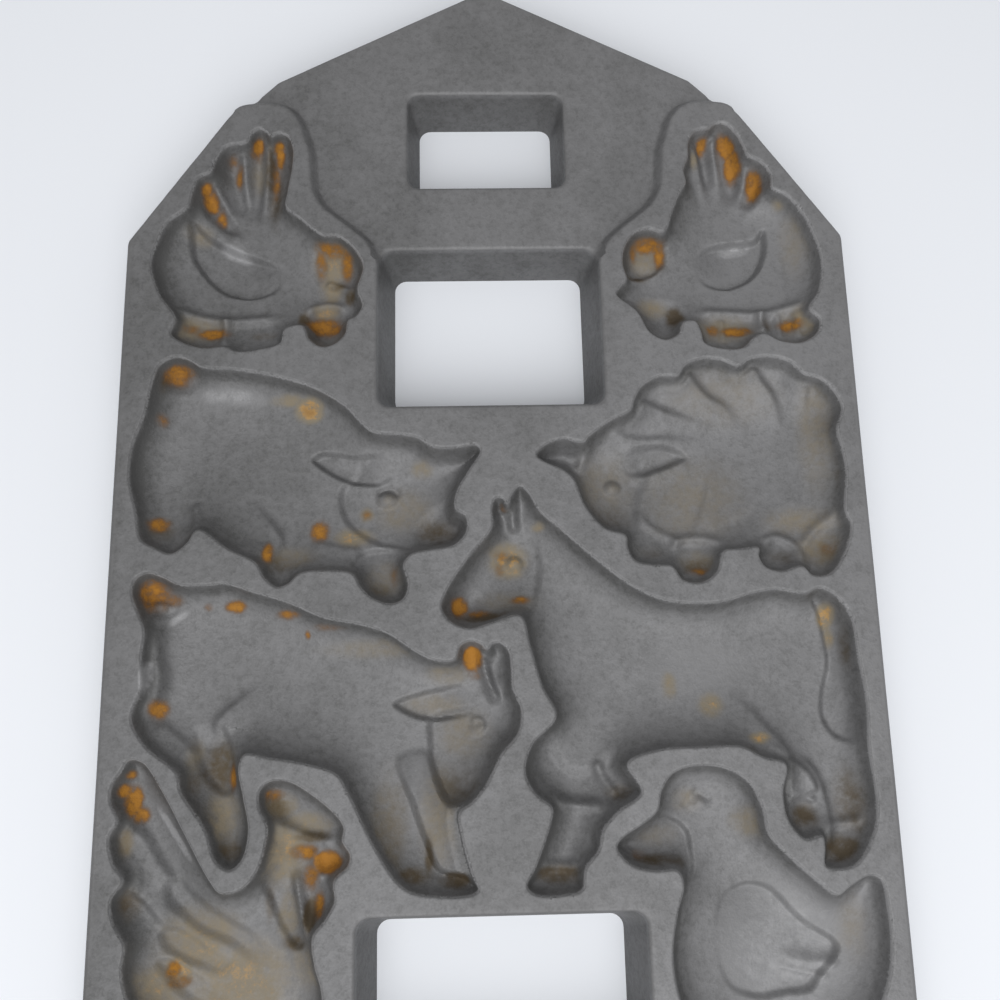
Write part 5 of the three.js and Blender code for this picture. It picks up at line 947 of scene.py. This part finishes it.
def grid_over(ring, spacing):
    """A triangular grid of points over a ring's box."""
    low, high = ring.min(0), ring.max(0)
    rows = np.arange(low[1], high[1], spacing * 3 ** 0.5 / 2)
    return np.array([(x + (k % 2) * spacing / 2, y) for k, y in enumerate(rows)
        for x in np.arange(low[0], high[0], spacing)])


def apart_from(points, others, gap):
    """The points that keep a gap from all the others."""
    tree = kdtree.KDTree(len(others))
    for i, p in enumerate(others):
        tree.insert((p[0], p[1], 0), i)
    tree.balance()
    return points[[tree.find((p[0], p[1], 0))[2] > gap for p in points]]


def triangulate(loops, inner):
    """Triangles over closed loops and the points between them: places, and corner numbers."""
    points = np.vstack(loops + [inner])
    edges = []
    first = 0
    for loop in loops:
        edges += [(first + i, first + (i + 1) % len(loop)) for i in range(len(loop))]
        first += len(loop)
    places, _, triangles, *_ = delaunay_2d_cdt([Vector(p) for p in points], edges, [], 0, WELD)
    return np.array([p[:] for p in places]), np.array(triangles)


def slab(places, triangles, top, bottom):
    """Vertices and faces of a closed body between two heights over triangles, and the places it uses."""
    used, corners = np.unique(triangles, return_inverse=True)
    corners = corners.reshape(-1, 3)
    a, b, c = (places[used][corners[:, k]] for k in range(3))
    turned = (b[:, 0] - a[:, 0]) * (c[:, 1] - a[:, 1]) - (b[:, 1] - a[:, 1]) * (c[:, 0] - a[:, 0]) < 0
    corners[turned] = corners[turned][:, ::-1]
    count = len(used)
    upper = np.column_stack([places[used], top[used]])
    lower = np.column_stack([places[used], bottom[used]])
    sides = {(t[i], t[(i + 1) % 3]) for t in corners.tolist() for i in range(3)}
    walls = [(p, p + count, q + count, q) for p, q in sides if (q, p) not in sides]
    faces = corners.tolist() + (corners[:, ::-1] + count).tolist() + sorted(walls)
    return np.vstack([upper, lower]), faces, used


def upper_side(values, used):
    """A layer's values on a slab's upper side, with nought on its lower side."""
    return np.concatenate([values[used], np.zeros(len(used))])


def to_frame(size, points):
    """Barn millimetres to the frame's metres."""
    return (np.asarray(points, float) - (0, size.length / 2, 0)) * MM


def finish_piece(context, piece, name):
    """Smooth shading, material, and the piece's place in the frame."""
    bpy.ops.object.select_all(action="DESELECT")
    piece.select_set(True)
    context.view_layer.objects.active = piece
    piece.name = name
    piece.data.name = name
    bpy.ops.object.shade_smooth_by_angle(angle=SMOOTH_ANGLE)
    piece.data.materials.clear()
    piece.data.materials.append(cast_iron(context))
    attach(piece, "root")
    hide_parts(name)


def add_piece(context, size, name, vertices, faces, layers):
    """A new mesh piece from barn millimetres, with its polish, painted light and shade, and rust as vertex
    layers.
    """
    mesh = bpy.data.meshes.new(name)
    mesh.from_pydata(to_frame(size, vertices).tolist(), [], faces)
    if mesh.validate():
        raise RuntimeError(f"{name} has faulty faces")
    for layer, values in layers.items():
        mesh.attributes.new(layer, "FLOAT", "POINT").data.foreach_set("value", values.astype(np.float32))
    piece = bpy.data.objects.new(name, mesh)
    context.collection.objects.link(piece)
    finish_piece(context, piece, name)


class Socket:
    """A socket that takes part in sums as a number does"""

    def __init__(self, nodes, socket):
        self.nodes = nodes
        self.socket = socket

    def math(self, operation, first, second):
        return self.nodes.add("ShaderNodeMath", {"operation": operation}, {0: first, 1: second})

    def __add__(self, other):
        return self.math("ADD", self, other)

    def __radd__(self, other):
        return self.math("ADD", other, self)

    def __sub__(self, other):
        return self.math("SUBTRACT", self, other)

    def __rsub__(self, other):
        return self.math("SUBTRACT", other, self)

    def __mul__(self, other):
        return self.math("MULTIPLY", self, other)

    def __rmul__(self, other):
        return self.math("MULTIPLY", other, self)


class Nodes:
    """The node tree of one material"""

    def __init__(self, material):
        material.use_nodes = True
        self.tree = material.node_tree
        self.tree.nodes.clear()

    def add(self, kind, settings, inputs, out=0):
        """A node of a kind, its settings first, then the values or links of its sockets."""
        node = self.tree.nodes.new(kind)
        for name, value in settings.items():
            setattr(node, name, value)
        for name, value in inputs.items():
            if isinstance(value, Socket):
                self.tree.links.new(value.socket, node.inputs[name])
            else:
                node.inputs[name].default_value = value
        return Socket(self, node.outputs[out]) if node.outputs else node

    def noise(self, place, scale, detail, roughness):
        settings = {"noise_dimensions": "3D"}
        inputs = {"Vector": place, "Scale": scale, "Detail": detail, "Roughness": roughness}
        return self.add("ShaderNodeTexNoise", settings, inputs)

    def between(self, value, low, high):
        """0 below low, 1 above high, smooth between."""
        settings = {"interpolation_type": "SMOOTHSTEP"}
        return self.add("ShaderNodeMapRange", settings, {"Value": value, "From Min": low, "From Max": high})

    def mix(self, share, first, second):
        return self.add("ShaderNodeMix", {"data_type": "RGBA"}, {0: share, 6: first, 7: second}, 2)

    def layer(self, name):
        """A vertex layer of the piece, nought where it has none."""
        return self.add("ShaderNodeAttribute", {"attribute_name": name}, {}, "Fac")


def rgba(colour):
    return (*colour, 1)


def cast_iron(context):
    """Bare sand-cast iron: grain, cloudy patches, edges polished by use, burnt film, ochre bloom and rust,
    with painted shade to the left and on walls, and painted highlights on lips and floors.
    """
    material = bpy.data.materials.get("cast_iron_bare")
    if material:
        return material
    finish = context.scene.mould_finish
    material = bpy.data.materials.new("cast_iron_bare")
    nodes = Nodes(material)
    place = nodes.add("ShaderNodeTexCoord", {}, {}, "Object")
    across = nodes.add("ShaderNodeSeparateXYZ", {}, {0: place})
    looks = (CLOUD, MOTTLE, GRAIN, PITS, BLOTCH)
    cloud, mottle, grain, pits, blotch = (nodes.noise(place, *look) for look in looks)
    wear_and_sheen, dark_iron_and_shade, burnt, ochre, rust = (nodes.layer(name) for name in LAYERS)

    # Random dark patches in the iron, with painted shade darker to the left and on walls from a vertex layer.
    dark = nodes.between(cloud + 0.5 * mottle, 0.6, 0.95) * 0.3 + nodes.between(grain + pits, 0.9, 1.3) * 0.3
    dark = dark + nodes.between(blotch, 0.4, 0.65) * 0.15 + 0.05 - PAINTED_SIDE_SHADE * across
    colour = nodes.mix(dark + PAINTED_SHADE_COVER * dark_iron_and_shade, rgba(finish.iron), rgba(finish.dark_iron_and_shade))
    uneven = 1 + 1.5 * (mottle - 0.5) + 1.2 * (blotch - 0.5)
    speckled = uneven + 1.2 * (pits - 0.5) + (grain - 0.5)
    # Polish from use and painted highlights from a vertex layer, with bright specks in the grain.
    rubbed_and_lit = nodes.between(wear_and_sheen * (0.4 + 0.6 * speckled), 0.4, 1.2) + 0.3 * nodes.between(grain, 0.6, 0.75)
    colour = nodes.mix(rubbed_and_lit * WEAR_AND_SHEEN_COVER, colour, rgba(finish.worn_and_lit))
    bloom = nodes.between(ochre * uneven, 0, 0.6)
    tint = nodes.mix(nodes.between(ochre * speckled, 0.5, 1.1), rgba(finish.film), rgba(finish.ochre))
    colour = nodes.mix(bloom * BLOOM_COVER, colour, tint)
    burnt = nodes.between(burnt * uneven, 0, 0.9)
    colour = nodes.mix(burnt * BURNT_COVER, colour, rgba(finish.burnt))
    crusted = uneven + 0.9 * (pits - 0.5) + 0.4 * (grain - 0.5)
    tone = nodes.mix(nodes.between(rust * crusted, 0.15, 1.25), rgba(finish.old_rust), rgba(finish.rust))
    rusty = nodes.between(rust * uneven, 0, 0.8)
    colour = nodes.mix(rusty * RUST_COVER, colour, tone)

    crust = 0.25 * rusty + 0.1 * bloom
    rough = finish.roughness + 0.16 * (grain - 0.5) + 0.12 * (cloud - 0.5) + crust
    metal = finish.metallic * (1 - rusty) * (1 - bloom)
    relief = 0.5 * grain + 0.9 * pits + 0.5 * mottle + 0.7 * rusty * grain
    bump = {"Strength": BUMP_STRENGTH, "Distance": BUMP_DEPTH, "Height": relief}
    normal = nodes.add("ShaderNodeBump", {}, bump)
    shader = nodes.add("ShaderNodeBsdfPrincipled", {}, {"Base Color": colour, "Roughness": rough,
        "Metallic": metal, "Specular IOR Level": IRON_SHINE, "Normal": normal})
    nodes.add("ShaderNodeOutputMaterial", {}, {"Surface": shader})
    return material


class MOULD_OT_webs(bpy.types.Operator):
    """Add the face plate and the lowered gable panel"""
    bl_idname = "mould.webs"
    bl_label = "Face and Gable"

    def execute(self, context):
        size = Millimetres(context.scene.mould_sizes)
        outline = barn_ring(size)
        seam = offset(gable_ring(), SEAM_OUT)
        holes = [cup_ring(name) for name in ANIMALS]
        holes += [window_ring(size, name, WINDOW_MARGIN) for name in WINDOWS]
        rounding = [1 - cos(radians(angle)) for angle in range(ROUND_STEP, 91, ROUND_STEP)]
        lines = [offset(outline, -size.edge * share) for share in rounding]
        lines += [offset(gable_ring(), -inset) for inset in STEP_LINES]
        grid = grid_over(outline, FACE_GRID)
        lines.append(apart_from(grid, np.vstack(lines), FACE_GRID * FACE_GAP))
        inner = thinned(np.vstack(lines), LINE_GAP)
        clear = depth_inside(outline, inner) > OUTLINE_GAP
        for ring in holes:
            clear &= depth_inside(ring, inner) < -HOLE_GAP
        clear &= nearest(seam, inner, True)[0] > HOLE_GAP
        places, triangles = triangulate([outline, seam] + holes, inner[clear])
        middle = places[triangles].mean(1)
        shown = is_inside(outline, middle)
        for ring in holes:
            shown &= ~is_inside(ring, middle)
        gable = is_inside(seam, middle)
        inside = depth_inside(outline, places)
        top = face_height(size, places) - edge_drop(size, np.maximum(inside, 0))
        edge = EDGE_WEAR * band(inside / size.edge, *EDGE_BAND)
        step = STEP_WEAR * band(depth_inside(gable_ring(), places), *STEP_BAND)
        under = {"face_plate": size.height - size.web, "gable_panel": size.height - size.recess - size.web}
        for name, part in (("face_plate", shown & ~gable), ("gable_panel", shown & gable)):
            bottom = np.full(len(places), under[name])
            vertices, faces, used = slab(places, triangles[part], top, bottom)
            worn_and_lit = upper_side(np.maximum(edge, step), used)
            rusted = patches(RIDGE_RUST, (0, 0), vertices[:, :2])
            add_piece(context, size, name, vertices, faces, {"wear_and_sheen": worn_and_lit, "rust": rusted})
        return {"FINISHED"}


class MOULD_OT_cups(bpy.types.Operator):
    """Add the eight animal cups"""
    bl_idname = "mould.cups"
    bl_label = "Animal Cups"

    def execute(self, context):
        size = Millimetres(context.scene.mould_sizes)
        for name, animal in ANIMALS.items():
            rim, lip = cup_ring(name), lip_ring(name)
            rings = thinned(np.vstack([offset(lip, -inset) for inset in LIP_RINGS]), RING_GAP)
            grid = apart_from(grid_over(rim, FLOOR_GRID), rings, FLOOR_GRID * FLOOR_GAP)
            inner = np.vstack([rings, grid])
            places, triangles = triangulate([rim], inner[depth_inside(rim, inner) > CUP_GAP])
            triangles = triangles[is_inside(rim, places[triangles].mean(1))]
            inside = depth_inside(lip, places)
            room = inside + (room_inside(lip, places) - inside) * smooth((inside - LIMB_FROM) / LIMB_RUN)
            shown = smooth((inside - RELIEF_FROM) / RELIEF_RUN)
            carved, board = relief_depth(animal, places)
            cove = cup_depth(inside, room, animal["deep"])
            depth = np.maximum(cove - board, np.minimum(cove, BOARD_DEPTH)) + shown * carved
            top = face_height(size, places) - depth
            bottom = size.height - shell_depth(size, np.maximum(depth_inside(rim, places), 0), animal["deep"])
            vertices, faces, used = slab(places, triangles, top, bottom)
            layers = cup_layers(name, places, inside).items()
            layers = {layer: upper_side(values, used) for layer, values in layers}
            add_piece(context, size, name + "_cup", vertices, faces, layers)
        return {"FINISHED"}


class MOULD_OT_frames(bpy.types.Operator):
    """Add the drafted walls of the two windows and the door"""
    bl_idname = "mould.frames"
    bl_label = "Window and Door Walls"

    def execute(self, context):
        size = Millimetres(context.scene.mould_sizes)
        draft = context.scene.mould_sizes.draft
        for name in WINDOWS:
            straight = window_ring(size, name, 0)
            out = window_ring(size, name, 1) - straight
            foot = face_height(size, straight - WINDOW_INSIDE * out) - size.sill
            rings = []
            for share in WINDOW_LEVELS:
                level = share * foot
                rings.append((straight + out * ((level - size.height) * draft)[:, None], level))
            lean = (foot - size.height) * draft
            for angle in np.radians(np.arange(0, 91, ROUND_STEP)):
                grow = lean + size.sill * (1 - cos(angle))
                rings.append((straight + out * grow[:, None], foot + size.sill * sin(angle)))
            margin = straight + out * WINDOW_MARGIN
            rings += [(margin, face_height(size, margin)), (margin, np.zeros(len(margin)))]
            count = len(straight)
            vertices = np.vstack([np.column_stack([ring, level]) for ring, level in rings])
            faces = []
            for k in range(len(rings)):
                here, there = k * count, (k + 1) % len(rings) * count
                for i in range(count):
                    j = (i + 1) % count
                    faces.append((here + j, here + i, there + i, there + j))
            sharp = np.zeros((len(rings), count))
            sharp[WINDOW_SHARP] = SILL_WEAR
            # Painted shade on the window walls, below their rounded lip.
            window_shade = np.zeros((len(rings), count))
            window_shade[:len(WINDOW_LEVELS)] = PAINTED_WALL_SHADE
            add_piece(context, size, name, vertices, faces, {"wear_and_sheen": sharp.ravel(), "dark_iron_and_shade": window_shade.ravel()})
        return {"FINISHED"}


class MOULD_OT_rim(bpy.types.Operator):
    """Add the nine straight walls of the rim, each with the rounded corner at its end"""
    bl_idname = "mould.rim"
    bl_label = "Rim Walls"

    def execute(self, context):
        size = Millimetres(context.scene.mould_sizes)
        arcs = barn_corners(size)
        plate_under = size.height - size.web
        for i, name in enumerate(WALL_NAMES):
            start, arc = arcs[i]["end"], arcs[(i + 1) % len(arcs)]
            top = plate_under - (size.recess if "knee" in name or "gable" in name else 0)
            run = arc["start"] - start
            length = np.linalg.norm(run)
            inward = np.array([-run[1], run[0]]) / length
            middle = (start + arc["start"]) / 2 + inward * (size.skirt / 2 + WALL_INSET)
            bpy.ops.object.select_all(action="DESELECT")
            bpy.ops.mesh.primitive_cube_add(size=1, location=to_frame(size, (*middle, top / 2)),
                rotation=(0, 0, atan2(run[1], run[0])), scale=(length * MM, size.skirt * MM, top * MM))
            bpy.ops.object.transform_apply(location=True, rotation=True, scale=True)
            wall = context.object
            bpy.ops.object.mode_set(mode="EDIT")
            bpy.ops.mesh.select_all(action="DESELECT")
            bpy.ops.object.mode_set(mode="OBJECT")
            along = Vector((*run / length, 0))
            for face in wall.data.polygons:
                face.select = face.normal.dot(along) > FACING
            bpy.ops.object.mode_set(mode="EDIT")
            # The spin operator turns clockwise for a positive angle.
            bpy.ops.mesh.spin(steps=ARC_STEPS - 1, angle=-arc["turn"], axis=(0, 0, 1),
                center=to_frame(size, (*arc["centre"], 0)))
            bpy.ops.mesh.select_all(action="SELECT")
            bpy.ops.mesh.remove_doubles(threshold=WELD)
            bpy.ops.mesh.normals_make_consistent(inside=False)
            bpy.ops.mesh.select_all(action="DESELECT")
            bpy.ops.object.mode_set(mode="OBJECT")
            self.select_foot(wall)
            bpy.ops.object.mode_set(mode="EDIT")
            bpy.ops.mesh.bevel(offset=FOOT_BEVEL * MM, segments=FOOT_SEGMENTS, affect="EDGES",
                clamp_overlap=True)
            bpy.ops.object.mode_set(mode="OBJECT")
            finish_piece(context, wall, name)
        return {"FINISHED"}

    @staticmethod
    def select_foot(wall):
        """Select the long edges that the mould stands on."""
        up = {}
        for face in wall.data.polygons:
            for key in face.edge_keys:
                up.setdefault(key, []).append(face.normal.z)
        for edge in wall.data.edges:
            level = up[edge.key]
            edge.select = min(level) < -FACING and max(level) > -SIDEWAYS


class MOULD_OT_stage(bpy.types.Operator):
    """Add the floor, the soft lights and the camera"""
    bl_idname = "mould.stage"
    bl_label = "Stage"

    def execute(self, context):
        stage = context.scene.mould_stage
        bpy.ops.object.select_all(action="DESELECT")
        bpy.ops.mesh.primitive_plane_add(size=FLOOR_WIDTH, location=(0, 0, 0))
        floor = context.object
        floor.name = "floor"
        paper = bpy.data.materials.new("pale_floor")
        nodes = Nodes(paper)
        shader = nodes.add("ShaderNodeBsdfPrincipled", {}, {"Base Color": rgba(stage.floor),
            "Roughness": FLOOR_ROUGHNESS, "Specular IOR Level": FLOOR_SHINE})
        nodes.add("ShaderNodeOutputMaterial", {}, {"Surface": shader})
        floor.data.materials.append(paper)

        for name, place, width, power in (("key_light", KEY_PLACE, KEY_WIDTH, stage.key),
                ("top_light", TOP_PLACE, TOP_WIDTH, stage.fill)):
            bpy.ops.object.light_add(type="AREA", location=place)
            lamp = context.object
            lamp.name = name
            lamp.data.energy = power
            lamp.data.shape = "DISK"
            lamp.data.size = width
            lamp.rotation_euler = Vector(place).to_track_quat("Z", "Y").to_euler()

        world = bpy.data.worlds.new("room")
        context.scene.world = world
        world.use_nodes = True
        background = world.node_tree.nodes["Background"].inputs
        background["Color"].default_value = (1, 1, 1, 1)
        background["Strength"].default_value = stage.sky

        bpy.ops.object.camera_add()
        camera = context.object
        camera.name = "camera"
        camera.data.sensor_width = FILM_WIDTH
        camera.data.lens = stage.lens
        x, y, z = stage.turn
        to_camera = Matrix.Rotation(z, 3, "Z") @ Matrix.Rotation(y, 3, "Y") @ Matrix.Rotation(x, 3, "X")
        camera.matrix_world = Matrix.Translation(stage.camera) @ to_camera.transposed().to_4x4()
        camera.data.clip_start = NEAR_CLIP
        context.scene.camera = camera
        context.scene.view_settings.view_transform = "Standard"
        return {"FINISHED"}


class MOULD_PT_panel(bpy.types.Panel):
    """Steps and sizes of the mould"""
    bl_idname = "MOULD_PT_panel"
    bl_label = "Cornbread Mould"
    bl_space_type = "VIEW_3D"
    bl_region_type = "UI"
    bl_category = "Mould"

    def draw(self, context):
        for step in STEPS:
            self.layout.operator(step.bl_idname)
        for group in (context.scene.mould_sizes, context.scene.mould_finish, context.scene.mould_stage):
            for name in group.__annotations__:
                self.layout.prop(group, name)


STEPS = (MOULD_OT_webs, MOULD_OT_cups, MOULD_OT_frames, MOULD_OT_rim, MOULD_OT_stage)
GROUPS = {"mould_sizes": MouldSizes, "mould_finish": MouldFinish, "mould_stage": MouldStage}


def register():
    for group in GROUPS.values():
        bpy.utils.register_class(group)
    for name, group in GROUPS.items():
        setattr(bpy.types.Scene, name, PointerProperty(type=group))
    for step in STEPS:
        bpy.utils.register_class(step)
    bpy.utils.register_class(MOULD_PT_panel)


def unregister():
    bpy.utils.unregister_class(MOULD_PT_panel)
    for step in reversed(STEPS):
        bpy.utils.unregister_class(step)
    for name in GROUPS:
        delattr(bpy.types.Scene, name)
    for group in reversed(GROUPS.values()):
        bpy.utils.unregister_class(group)


def main():
    register()
    bpy.ops.mould.webs()
    bpy.ops.mould.cups()
    bpy.ops.mould.frames()
    bpy.ops.mould.rim()
    bpy.ops.mould.stage()


if __name__ == "__main__":
    main()
